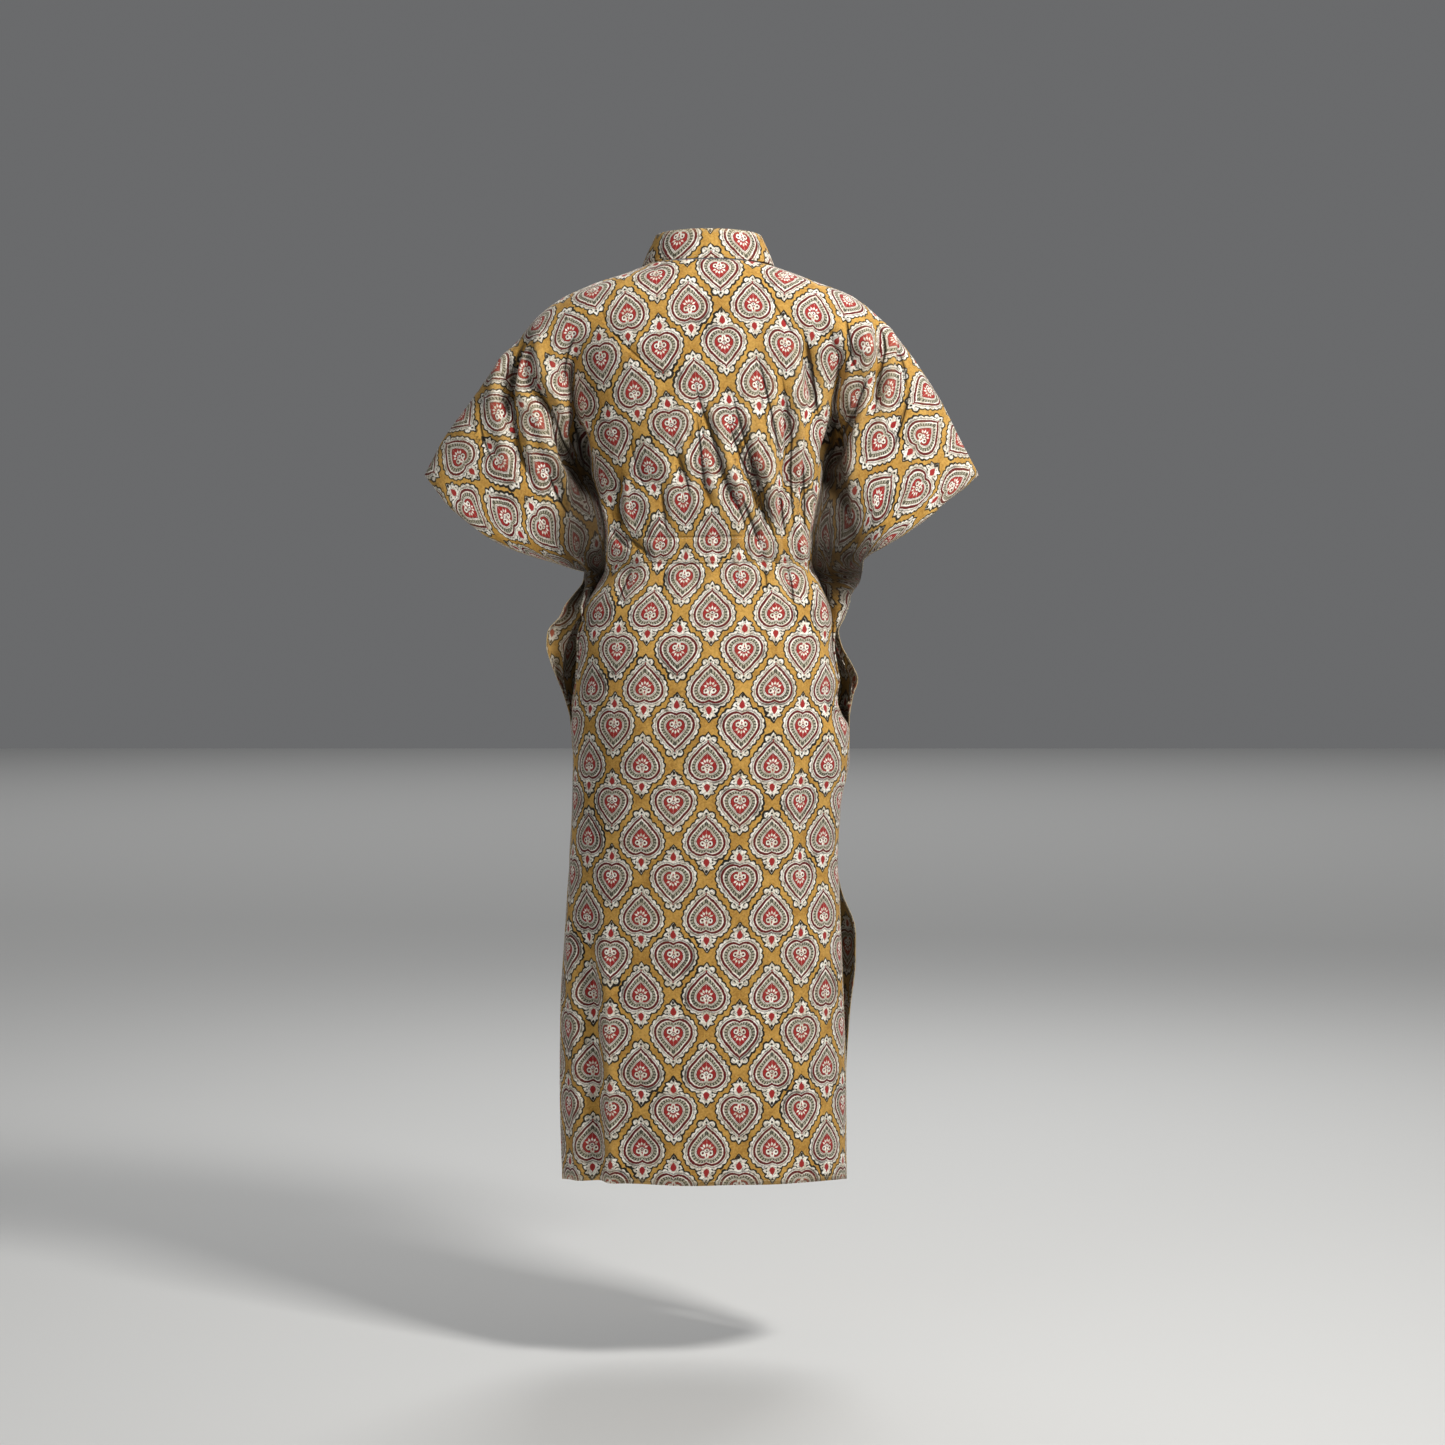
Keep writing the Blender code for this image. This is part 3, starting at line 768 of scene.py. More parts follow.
def oval(half_width: float, depth: float, squareness: float, edge_depth: float) -> Places:
    """A quarter of a rounded oval, from the centre line to the edge.

    Args:
        half_width: how far out the edge lies.
        depth: how deep the centre line lies.
        squareness: the oval's power, 2 for an ellipse.
        edge_depth: how deep the edge lies.

    Returns:
        The way out and the depth of each of its places.
    """
    angle = np.linspace(0.0, math.pi / 2.0, 140)
    out = half_width * np.sin(angle) ** (2.0 / squareness)
    deep = edge_depth + (depth - edge_depth) * np.abs(np.cos(angle)) ** (2.0 / squareness)
    return np.column_stack([out, deep])


def sleeve_sheet(valley: Places, crest: Row, rim: Row, hollow: float) -> Places:
    """The sleeve's section: it rises from the valley to its crest, then rounds off to its rim.

    Args:
        valley: how far out and how deep the fold beside the body lies.
        crest: the same for the sleeve's crest.
        rim: the same for its edge.
        hollow: how far the rise is hollow, as a share, and not swelling.

    Returns:
        The section's places.
    """
    turn = np.linspace(0.0, math.pi / 2.0, 90)
    level, steep = 1.0 - np.cos(turn), np.sin(turn)
    out = level + (steep - level) * hollow
    up = steep + (level - steep) * hollow
    low, high, end = np.array(valley), np.array(crest), np.array(rim)
    rise = low + (high - low) * np.column_stack([out, up])
    fall = high + (end - high) * np.column_stack([steep, level])
    return np.vstack([rise, fall[1:]])


def run_of(line: Places) -> Places:
    """The length of a line up to each of its places."""
    return np.concatenate([[0.0], np.cumsum(np.linalg.norm(np.diff(line, axis=0), axis=1))])


def places_at(line: Places, run: Places, at: Places) -> Places:
    """The places, or other values along a line, where its length comes to these numbers."""
    return np.column_stack([np.interp(at, run, part) for part in line.T])


def spread(line: Places, shares: Places) -> Places:
    """Places along a line at the given shares of its length."""
    run = run_of(line)
    return places_at(line, run, shares * run[-1])


def directions(vectors: Places) -> Places:
    """The vectors at length one."""
    return vectors / np.maximum(np.linalg.norm(vectors, axis=-1, keepdims=True), TINY)


# Where the two sharp creases of each sleeve run: how far out they lie
CREASE_OUT = Table(("height", "left_upper", "right_upper", "left_lower", "right_lower"), (
    (-0.040, 0.205, 0.196, 0.226, 0.214),
    (-0.085, 0.226, 0.216, 0.224, 0.212),
    (-0.130, 0.242, 0.220, 0.221, 0.206),
    (-0.160, 0.250, 0.214, 0.214, 0.196),
    (-0.200, 0.262, 0.206, 0.196, 0.180),
    (-0.260, 0.280, 0.200, 0.170, 0.160),
    (-0.392, 0.290, 0.200, 0.160, 0.150),
))
# How far the centre line lies beside the print's middle column, and how far its rows were set off in printing
LEAN = Table(("height", "shift", "rise"), (
    (0.000, 0.028, -0.0080),
    (-0.056, 0.025, -0.0066),
    (-0.155, 0.016, -0.0028),
    (-0.251, 0.003, -0.0029),
    (-0.349, -0.0075, 0.0000),
    (-0.445, -0.0050, 0.0000),
    (-0.539, -0.0025, 0.0000),
    (-0.635, 0.0010, 0.0000),
    (-0.728, 0.0020, -0.0028),
    (-0.825, 0.0020, -0.0022),
    (-1.190, 0.0020, -0.0007),
))
# Height of one motif of the middle column on the back
SPADE_LEVEL = -0.5388


@dataclass(frozen=True)
class SleeveCut:
    """Where one sleeve's edges lie on the flat cloth, from the print's middle column and marked row."""

    neck: Pair
    tip: Pair
    underarm: Pair


@dataclass(frozen=True)
class ClothLayout:
    """Lays a draped panel out flat, so that its print runs as it does on the uncut cloth.

    The centre line, the skirt, the sleeve hems and both ends of the shoulder seams have their known places
    there. All else settles as a net of springs, slack in the deep folds, because cloth lies hidden in them.
    """

    left: SleeveCut
    right: SleeveCut
    # The rows, columns and rounds of each net, from coarse to fine
    nets: tuple[tuple[int, int, int], ...] = ((20, 16, 900), (36, 32, 900), (72, 64, 700), (108, 88, 400))
    damping: float = 0.93
    gathered: Pair = (0.17, 0.17)
    gathered_reach: float = 0.075
    plain_below: float = -0.435
    valley_slack: float = 0.02
    valley_reach: float = 0.03
    valley_from: Pair = (0.095, 0.14)
    valley_to: Pair = (0.43, 0.50)
    pinched_level: float = -0.400
    pinched_reach: float = 0.030
    pinched_share: Pair = (0.45, 0.55)
    crease_slack: float = 0.12
    crease_reach: float = 0.006
    crease_from: Pair = (0.08, 0.13)
    crease_share: float = 0.03

    def flatten(self, lattice: Lattice) -> Places:
        """Works out every place's position on the flat cloth.

        Args:
            lattice: the draped panel.

        Returns:
            Two numbers for each place, across and up, in metres.
        """
        along = np.diff(lattice.points, axis=1)
        down = np.diff(lattice.points, axis=0)
        mean_along = (along[:-1] + along[1:]) / 2.0
        mean_down = (down[:, :-1] + down[:, 1:]) / 2.0
        size = np.linalg.norm(mean_along, axis=-1) * np.linalg.norm(mean_down, axis=-1)
        cosine = (mean_along * mean_down).sum(-1) / np.maximum(size, TINY * TINY)
        row_length = np.linalg.norm(along, axis=-1) * self.gathering(lattice)
        row_run = np.pad(np.cumsum(row_length, axis=1), ((0, 0), (1, 0)))
        column_run = np.pad(np.cumsum(np.linalg.norm(down, axis=-1), axis=0), ((1, 0), (0, 0)))
        stiff = self.stiffness(lattice)
        flat, held = self.first_guess(lattice, row_run, column_run)
        known = flat.copy()
        for rows, columns, rounds in self.nets:
            at_row = np.round(np.linspace(0, lattice.last[0], rows + 1)).astype(int)
            at_column = np.round(np.linspace(0, lattice.last[1], columns + 1)).astype(int)
            chosen = np.ix_(at_row, at_column)
            net = Net(
                across=np.diff(row_run[chosen], axis=1),
                down=np.diff(column_run[chosen], axis=0),
                cosine=block_means(cosine, at_row, at_column),
                stiff=stiff[chosen],
                held=held[chosen],
            )
            start = np.where(net.held[..., None], known[chosen], flat[chosen])
            flat = stretch_grid(net.settled(start, rounds, self.damping), at_row, at_column)
            flat = np.where(held[..., None], known, flat)
        return flat

    def gathering(self, lattice: Lattice) -> Places:
        """How much longer the cloth is along each row than its drape, since the elastic gathers it.

        Args:
            lattice: the draped panel.

        Returns:
            A factor for each stretch between two columns.
        """
        near_waist = np.exp(-(((lattice.levels - WAIST_LEVEL) / self.gathered_reach) ** 2))
        on_body = (lattice.share[:, :-1] + lattice.share[:, 1:]) / 2.0 < BODY_SHARE
        gathered = np.where(np.arange(on_body.shape[1]) < on_body.shape[1] // 2, *self.gathered)
        return 1.0 + gathered * near_waist * on_body

    def first_guess(self, lattice: Lattice, row_run: Places, column_run: Places) -> tuple[Places, Places]:
        """Lays the known edges out, and the rest roughly between them.

        Args:
            lattice: the draped panel.
            row_run: the length along each row up to each place.
            column_run: the length down each column up to each place.

        Returns:
            The positions, and which of them are known.
        """
        heights, share = lattice.heights, lattice.share
        last = lattice.last[1]
        middle = last // 2
        marked = np.interp(-SPADE_LEVEL, -lattice.points[:, middle, 2], column_run[:, middle])
        up = marked - column_run[:, middle] + LEAN.read("rise", heights)
        lean = LEAN.read("shift", heights) * (1.0 if lattice.face is Face.BACK else 0.0)
        across = lean[:, None] + row_run - row_run[:, middle : middle + 1]
        flat = np.stack([across, np.tile(up[:, None], last + 1)], axis=-1)
        held = np.zeros(share.shape, bool)
        held[:, middle] = True
        held[heights < self.plain_below] = True
        seam = heights >= SLEEVE_TIP_LEVEL - TINY
        hem = ~seam & (heights >= UNDERARM_LEVEL - TINY)
        known = seam | hem
        order = np.arange(last + 1)
        for column, cut, own in ((0, self.left, order < middle), (last, self.right, order > middle)):
            run = column_run[:, column]
            tip, end = run[seam][-1], run[hem][-1]
            part = np.clip(np.where(seam, run / tip, (run - tip) / (end - tip)), 0.0, 1.0)[:, None]
            first = np.where(seam[:, None], cut.neck, cut.tip)
            edge = first + (np.where(seam[:, None], cut.tip, cut.underarm) - first) * part
            for row in np.where(known)[0]:
                columns = np.where(own & (share[row] >= BODY_SHARE))[0]
                inner = columns[0] if column else columns[-1]
                way = (share[row, columns] - share[row, inner]) / (1.0 - share[row, inner])
                flat[row, columns] = flat[row, inner] + (edge[row] - flat[row, inner]) * way[:, None]
            flat[known, column] = edge[known]
            held[hem, column] = True
            held[[0, np.where(seam)[0][-1]], column] = True
        return flat, held

    def stiffness(self, lattice: Lattice) -> Places:
        """How strongly the net holds at each place: it is slack in the deep folds.

        Args:
            lattice: the draped panel.

        Returns:
            A number from near 0 to 1 for each place.
        """
        share, levels = lattice.share, lattice.levels
        deep = smooth_step(-levels, *self.valley_from) * (1.0 - smooth_step(-levels, *self.valley_to))
        valley = np.exp(-(((share - BODY_SHARE) / self.valley_reach) ** 4)) * deep
        pinched = np.exp(-(((levels - self.pinched_level) / self.pinched_reach) ** 2))
        pinched = pinched * smooth_step(share, *self.pinched_share)
        stiff = 1.0 - (1.0 - self.valley_slack) * np.maximum(valley, pinched)
        on_sleeve = (share > BODY_SHARE + self.crease_share) & (levels > UNDERARM_LEVEL)
        x = lattice.points[..., 0]
        for side in Side:
            own = (x * side.way > 0.0) & on_sleeve
            for name in ("_upper", "_lower"):
                out = CREASE_OUT.read(side.value + name, lattice.heights)[:, None]
                near = np.exp(-(((np.abs(x) - out) / self.crease_reach) ** 2)) * own
                stiff *= 1.0 - (1.0 - self.crease_slack) * near * smooth_step(-levels, *self.crease_from)
        return stiff


@dataclass
class Net:
    """A net of springs in the plane: its lengths across and down, the cosine between them, and what holds."""

    across: Places
    down: Places
    cosine: Places
    stiff: Places
    held: Places

    def settled(self, flat: Places, rounds: int, damping: float) -> Places:
        """Lets the net settle.

        Args:
            flat: the first guess.
            rounds: how many rounds to take.
            damping: how much of its speed each place keeps.

        Returns:
            The settled places.
        """
        across = (self.across[:-1] + self.across[1:]) / 2.0
        down = (self.down[:, :-1] + self.down[:, 1:]) / 2.0
        both = across**2 + down**2
        cross = 2.0 * across * down * self.cosine
        families = (
            (np.s_[:, :-1], np.s_[:, 1:], self.across),
            (np.s_[:-1, :], np.s_[1:, :], self.down),
            (np.s_[:-1, :-1], np.s_[1:, 1:], np.sqrt(np.maximum(both + cross, 0.0))),
            (np.s_[:-1, 1:], np.s_[1:, :-1], np.sqrt(np.maximum(both - cross, 0.0))),
        )
        weights = [np.minimum(self.stiff[first], self.stiff[second]) for first, second, _ in families]
        total = np.zeros(flat.shape[:2])
        for (first, second, _), weight in zip(families, weights):
            total[first] += weight
            total[second] += weight
        free = ~self.held[..., None]
        flat = flat.copy()
        speed = np.zeros(flat.shape)
        for _ in range(rounds):
            push = np.zeros(flat.shape)
            for (first, second, rest), weight in zip(families, weights):
                step = flat[second] - flat[first]
                length = np.maximum(np.hypot(step[..., 0], step[..., 1]), TINY * TINY)
                pull = step * (0.5 * weight * (1.0 - rest / length))[..., None]
                push[first] += pull
                push[second] -= pull
            speed = (speed * damping + push / total[..., None]) * free
            flat += speed
        return flat


def block_means(values: Places, at_row: Places, at_column: Places) -> Places:
    """Takes the mean of the values in each block of a coarser grid.

    Args:
        values: a number for each face of the fine grid.
        at_row: the rows that the coarser grid keeps.
        at_column: the columns that it keeps.

    Returns:
        A number for each face of the coarser grid.
    """
    total = np.pad(values.cumsum(axis=0).cumsum(axis=1), ((1, 0), (1, 0)))
    corner = total[at_row][:, at_column]
    block = corner[1:, 1:] - corner[:-1, 1:] - corner[1:, :-1] + corner[:-1, :-1]
    return block / np.outer(np.diff(at_row), np.diff(at_column))


def stretch_grid(coarse: Places, at_row: Places, at_column: Places) -> Places:
    """Fills a fine grid in between the places of a coarse one.

    Args:
        coarse: the coarse grid's places.
        at_row: their rows in the fine grid.
        at_column: their columns there.

    Returns:
        The fine grid's places.
    """
    rows, columns = np.arange(at_row[-1] + 1), np.arange(at_column[-1] + 1)
    parts = []
    for axis in range(coarse.shape[-1]):
        across = np.array([np.interp(columns, at_column, line) for line in coarse[..., axis]])
        parts.append(np.array([np.interp(rows, at_row, line) for line in across.T]).T)
    return np.stack(parts, axis=-1)


Socket = bpy.types.NodeSocket
Value = float | Socket


class Graph:
    """Short ways to add nodes to one material."""

    def __init__(self, name: str) -> None:
        """Starts a material with its shader and its output.

        Args:
            name: the material's name.
        """
        self.material = bpy.data.materials.new(name)
        self.material.use_nodes = True
        self.nodes = self.material.node_tree.nodes
        self.links = self.material.node_tree.links

    def join(self, node: bpy.types.Node, inputs: dict[str | int, Value | Colour]) -> bpy.types.Node:
        """Links or sets a node's inputs.

        Args:
            node: the node.
            inputs: the socket or the value that each input takes.

        Returns:
            The node.
        """
        for name, value in inputs.items():
            if isinstance(value, bpy.types.NodeSocket):
                self.links.new(value, node.inputs[name])
            else:
                node.inputs[name].default_value = value
        return node

    def add(self, kind: str, inputs: dict[str | int, Value | Colour]) -> bpy.types.Node:
        """Adds a node of a kind, with its inputs."""
        return self.join(self.nodes.new(kind), inputs)

    def dress(self, inputs: dict[str, Value | Colour]) -> bpy.types.Material:
        """Links or sets the shader's inputs, and gives the material."""
        self.join(self.nodes["Principled BSDF"], inputs)
        return self.material

    def math(self, operation: str, *values: Value) -> Socket:
        """One Math node.

        Args:
            operation: what it works out.
            values: the numbers that it works on.

        Returns:
            The result.
        """
        node = self.nodes.new("ShaderNodeMath")
        node.operation = operation
        return self.join(node, dict(enumerate(values))).outputs[0]

    def sum(self, first: Value, second: Value) -> Socket:
        """First plus second."""
        return self.math("ADD", first, second)

    def less(self, first: Value, second: Value) -> Socket:
        """First minus second."""
        return self.math("SUBTRACT", first, second)

    def times(self, first: Value, second: Value) -> Socket:
        """First times second."""
        return self.math("MULTIPLY", first, second)

    def length(self, across: Value, up: Value) -> Socket:
        """How long a way is, from how far it goes across and up."""
        return self.math("SQRT", self.sum(self.times(across, across), self.times(up, up)))

    def fade(self, value: Value, full: float, none: float) -> Socket:
        """1 up to full, falling to 0 at none, or the other way round."""
        ends = {"From Min": full, "From Max": none, "To Min": 1.0, "To Max": 0.0}
        return self.add("ShaderNodeMapRange", {"Value": value, **ends}).outputs["Result"]

    def between(self, value: Value, low: float, high: float, soft: float) -> Socket:
        """1 between low and high, with soft edges."""
        above = self.fade(value, low + soft / 2.0, low - soft / 2.0)
        return self.times(above, self.fade(value, high - soft / 2.0, high + soft / 2.0))

    def blend(self, kind: str, share: Value, first: Value | Colour, second: Value | Colour) -> Socket:
        """Goes from the first value to the second.

        Args:
            kind: whether they are numbers or colours.
            share: how far to go.
            first: the value at 0.
            second: the value at 1.

        Returns:
            The value there.
        """
        node = self.nodes.new("ShaderNodeMix")
        node.data_type = kind
        return self.join(node, {"Factor": share, "A": first, "B": second}).outputs["Result"]

    def mix(self, share: Value, first: Value | Colour, second: Value | Colour) -> Socket:
        """Goes from the first colour to the second."""
        return self.blend("RGBA", share, first, second)

    def choose(self, share: Value, first: Value, second: Value) -> Socket:
        """Goes from the first number to the second."""
        return self.blend("FLOAT", share, first, second)

    def noise(self, vector: Socket, scale: float, detail: float = 2.0, rough: float = 0.5) -> Socket:
        """A cloudy number round a half."""
        inputs = {"Vector": vector, "Scale": scale, "Detail": detail, "Roughness": rough}
        return self.add("ShaderNodeTexNoise", inputs).outputs["Fac"]

    def stretched(self, vector: Socket, across: float, up: float, turn: float = 0.0) -> Socket:
        """Coordinates stretched across and up, and turned."""
        inputs = {"Vector": vector, "Scale": (across, up, 1.0), "Rotation": (0.0, 0.0, turn)}
        return self.add("ShaderNodeMapping", inputs).outputs[0]

    def bump(self, height: Socket, strength: float, distance: float, **under: Socket) -> Socket:
        """The normal that a height makes, over another where Normal is given."""
        inputs = {"Height": height, "Strength": strength, "Distance": distance, **under}
        return self.add("ShaderNodeBump", inputs).outputs[0]

    def attribute(self, name: str, output: str) -> Socket:
        """One of the mesh's own attributes.

        Args:
            name: the attribute's name.
            output: the node's output to read, Fac or Vector.

        Returns:
            The value.
        """
        node = self.nodes.new("ShaderNodeAttribute")
        node.attribute_name = name
        return node.outputs[output]

    def split(self, vector: Socket) -> tuple[Socket, Socket, Socket]:
        """A vector's three numbers."""
        return tuple(self.add("ShaderNodeSeparateXYZ", {0: vector}).outputs)

    def curve(self, value: Value, places: tuple[Pair, ...]) -> Socket:
        """A number read off a curve.

        Args:
            value: where to read it, from 0 to 1.
            places: the curve's places, in order.

        Returns:
            The curve's height there.
        """
        node = self.add("ShaderNodeFloatCurve", {"Value": value})
        line = node.mapping.curves[0]
        for at, height in places[1:-1]:
            line.points.new(at, height)
        line.points[0].location = places[0]
        line.points[-1].location = places[-1]
        node.mapping.update()
        return node.outputs[0]


def rgb(red: int, green: int, blue: int) -> Colour:
    """A screen colour as the linear one that a shader takes."""
    parts = (((value / 255.0 + 0.055) / 1.055) ** 2.4 for value in (red, green, blue))
    return (*parts, 1.0)


@dataclass(frozen=True)
class Spot:
    """A place on the print, as sockets, with the shapes that it can lie in.

    These are its coordinates on the flat cloth in metres, its place across and up the cloth in mm, its place
    across and along the nearest motif with that one's tip up, whether that is a heart, how far it lies from
    the motif's middle and at what share of a half turn from its tip, and how far out it lies, as a share of
    the outline's reach and in mm past it.
    """

    g: Graph
    flat: Socket
    u: Socket
    v: Socket
    x: Socket
    y: Socket
    heart: Socket
    away: Socket
    turn: Socket
    part: Socket
    past: Socket

    def circle(self, at: Pair, radius: float) -> Socket:
        """A circle.

        Args:
            at: the circle's middle.
            radius: its radius.

        Returns:
            How far the place lies outside it, below zero inside.
        """
        g = self.g
        away_x, away_y = g.less(self.x, at[0]), g.less(self.y, at[1])
        return g.less(g.length(away_x, away_y), radius)

    def leaf(self, start: Row, end: Row, half_width: float) -> Socket:
        """A pointed leaf.

        Args:
            start: the leaf's first tip.
            end: its other tip.
            half_width: half its width.

        Returns:
            How far the place lies outside it, below zero inside.
        """
        g = self.g
        way_x, way_y = end[0] - start[0], end[1] - start[1]
        length = math.hypot(way_x, way_y)
        away_x, away_y = g.less(self.x, start[0]), g.less(self.y, start[1])
        along = g.sum(g.times(away_x, way_x / length**2), g.times(away_y, way_y / length**2))
        aside = g.sum(g.times(away_x, -way_y / length), g.times(away_y, way_x / length))
        inside = g.math("MINIMUM", g.math("MAXIMUM", along, 0.0), 1.0)
        past = g.times(g.math("ABSOLUTE", g.less(along, inside)), length)
        swell = g.times(g.math("SINE", g.times(inside, math.pi)), half_width)
        return g.sum(g.less(g.math("ABSOLUTE", aside), swell), past)

    def drop(self, start: float, end: float, half_width: float, power: float) -> Socket:
        """A drop that runs along y.

        Args:
            start: the y of the drop's first tip.
            end: the y of its other tip.
            half_width: half its width.
            power: how far its widest place moves to the second tip, from 1 in the middle.

        Returns:
            How far the place lies outside it, below zero inside.
        """
        g = self.g
        share = g.math("DIVIDE", g.less(self.y, start), end - start)
        inside = g.math("MINIMUM", g.math("MAXIMUM", share, 0.0), 1.0)
        past = g.times(g.math("ABSOLUTE", g.less(share, inside)), abs(end - start))
        swell = g.math("SINE", g.times(g.math("POWER", inside, power), math.pi))
        return g.sum(g.less(self.x, g.times(swell, half_width)), past)


@dataclass(frozen=True)
class BlockPrint:
    """Cotton printed from wooden blocks, with rows of spades and hearts on ochre. Sizes are in mm."""

    name: str
    strength: float = 1.0
    repeat_width: float = 82.5
    repeat_height: float = 96.2
    bulge: float = 11.5
    outline_reach: float = 30.0
    scallops: float = 11.0
    ticks: float = 15.0
    petal_turn: float = 0.178
    ground: Colour = rgb(208, 162, 80)
    ground_dark: Colour = rgb(164, 119, 48)
    cream: Colour = rgb(255, 251, 240)
    cream_dull: Colour = rgb(204, 193, 172)
    grey_green: Colour = rgb(172, 166, 146)
    deep_green: Colour = rgb(112, 107, 86)
    black: Colour = rgb(24, 22, 20)
    grey_line: Colour = rgb(44, 39, 33)
    dark_red: Colour = rgb(96, 8, 20)
    red: Colour = rgb(160, 36, 38)
    cloth: Colour = rgb(120, 100, 62)
    rubbed: Colour = rgb(222, 200, 156)
    # The colour of the shade painted along the folds and in the hollows beside the sleeves
    shade: Colour = rgb(34, 25, 14)
    sheen_tint: Colour = (1.0, 0.93, 0.82, 1.0)
    roughness: float = 0.86
    specular: float = 0.25
    sheen: float = 0.08
    wobble: float = 3.2
    raggedness: float = 1.5
    thread_scale: float = 1500.0
    thread_stretch: float = 0.12
    pleats_reach: Pair = (120.0, 330.0)
    pleats_turn: float = 0.16
    pleats_stretch: float = 0.14
    pleats_scale: float = 78.0
    pleats_height: float = 8.0
    fold_reach: float = 9.0
    # How strongly shade is painted along the folds' lines
    fold_painted_shade: float = 0.72
    # How strongly shade is painted in the hollows between the body and the sleeves
    hollow_painted_shade: float = 0.88
    # Across a fold from its left to its right: the place, and the height round a half
    fold_profile: tuple[Pair, ...] = (
        (0.0, 0.5), (0.22, 0.60), (0.38, 0.40), (0.50, 0.0),
        (0.63, 0.78), (0.78, 0.60), (1.0, 0.5),
    )
    # Angle from the tip as a share of a half turn, and the outline's reach there as a share of outline_reach
    outline: tuple[Pair, ...] = (
        (0.0, 0.963), (0.050, 0.846), (0.114, 0.768), (0.180, 0.705), (0.241, 0.672), (0.310, 0.676),
        (0.380, 0.700), (0.500, 0.753), (0.588, 0.773), (0.677, 0.753), (0.790, 0.703),
        (0.881, 0.640), (0.944, 0.570), (1.0, 0.510),
    )

    def material(self) -> bpy.types.Material:
        """Makes the material.

        Returns:
            The material, which reads the UV map "cloth" in metres and the attributes of Surface.
        """
        g = Graph(self.name)
        source = g.nodes.new("ShaderNodeUVMap")
        source.uv_map = "cloth"
        spot = self.spot(g, source.outputs["UV"])
        colour, ink = self.motif(spot)
        colour, folds = self.folded(g, self.aged(g, colour, spot.flat))
        return g.dress(
            {
                "Base Color": colour,
                "Roughness": self.roughness,
                "Specular IOR Level": self.specular,
                "Sheen Weight": self.sheen,
                "Sheen Roughness": 0.5,
                "Sheen Tint": self.sheen_tint,
                "Normal": g.bump(folds, 1.0, 0.001, Normal=self.weave(spot, ink)),
            }
        )

    def spot(self, g: Graph, flat: Socket) -> Spot:
        """Finds where a place lies on its nearest motif.

        Args:
            g: the material's graph.
            flat: the flat cloth's coordinates in metres.

        Returns:
            The place on the print.
        """
        across, up, _ = g.split(flat)
        swapped = g.add("ShaderNodeCombineXYZ", {0: up, 1: across}).outputs[0]
        wobble = g.times(g.less(g.noise(flat, 22.0, 1.0), 0.5), self.wobble)
        wobble_up = g.times(g.less(g.noise(swapped, 19.0, 1.0), 0.5), self.wobble)
        ragged = g.times(g.less(g.noise(flat, 380.0, 1.0), 0.5), self.raggedness)
        u = g.sum(g.times(across, 1000.0), g.sum(wobble, ragged))
        v = g.sum(g.times(up, 1000.0), g.sum(wobble_up, ragged))
        half_width, half_height = self.repeat_width / 2.0, self.repeat_height / 2.0
        across = g.math("PINGPONG", u, half_width)
        up = g.math("WRAP", v, half_height, -half_height)
        swing = g.times(g.math("COSINE", g.times(up, 2.0 * math.pi / self.repeat_height)), self.bulge)
        heart = g.math("GREATER_THAN", g.less(across, swing), half_width / 2.0)
        turned = g.less(g.times(g.math("SIGN", up), half_height), up)
        x = g.choose(heart, across, g.less(half_width, across))
        y = g.choose(heart, up, turned)
        away = g.length(x, y)
        turn = g.times(g.math("ARCTAN2", x, y), 1.0 / math.pi)
        reach = g.times(g.curve(turn, self.outline), self.outline_reach)
        part, past = g.math("DIVIDE", away, reach), g.less(away, reach)
        return Spot(g, flat, u, v, x, y, heart, away, turn, part, past)

    def motif(self, spot: Spot) -> tuple[Socket, Socket]:
        """Paints one motif on the ground.

        Args:
            spot: the place on the print.

        Returns:
            The colour, and how much ink lies there.
        """
        g = spot.g
        flat, past = spot.flat, spot.past
        ragged = g.times(g.less(g.noise(flat, 260.0, 2.0, 0.7), 0.5), 2.0)
        smudge = g.fade(g.noise(flat, 17.0, 2.0, 0.5), 0.66, 0.54)
        grain = g.noise(flat, 330.0, 3.0, 0.7)
        white = self.band_edge(spot)

        mottle = g.sum(g.times(g.noise(flat, 34.0, 5.0, 0.62), 0.5), g.times(grain, 0.5))
        ground = g.mix(g.fade(mottle, 0.40, 0.58), self.ground, self.ground_dark)
        thick = g.sum(g.sum(white, g.times(ragged, 1.5)), g.times(smudge, -1.4))
        colour = g.mix(g.fade(thick, 1.7, 2.4), ground, self.black)
        spots = g.sum(g.times(g.noise(flat, 90.0, 4.0, 0.65), 0.6), g.times(grain, 0.4))
        cream = g.mix(g.fade(spots, 0.56, 0.42), self.cream_dull, self.cream)
        colour = g.mix(g.fade(white, -0.25, 0.2), colour, cream)

        inner = g.between(g.sum(past, g.times(ragged, 0.35)), 2.5, 3.9, 0.5)
        inner = g.times(inner, g.fade(white, -1.0, -0.6))
        colour = g.mix(g.times(inner, g.sum(g.times(smudge, 0.35), 0.55)), colour, self.grey_line)
        cuts = g.between(g.noise(flat, 150.0, 1.0), 0.482, 0.518, 0.012)
        cuts = g.times(cuts, g.times(g.fade(white, -0.9, -0.4), g.fade(past, 2.4, 1.6)))
        colour = g.mix(g.times(cuts, 0.65), colour, self.grey_line)
        stain = g.times(g.times(smudge, g.fade(white, -0.6, 0.0)), g.between(past, 0.8, 5.2, 1.0))
        colour = g.mix(g.times(stain, 0.55), colour, self.grey_line)

        colour = self.ring(spot, colour, smudge)
        colour = g.mix(g.fade(spot.part, 0.535, 0.560), colour, self.heart_of(spot, cream))
        return self.marks(spot, colour, white), g.fade(white, 0.8, 1.8)

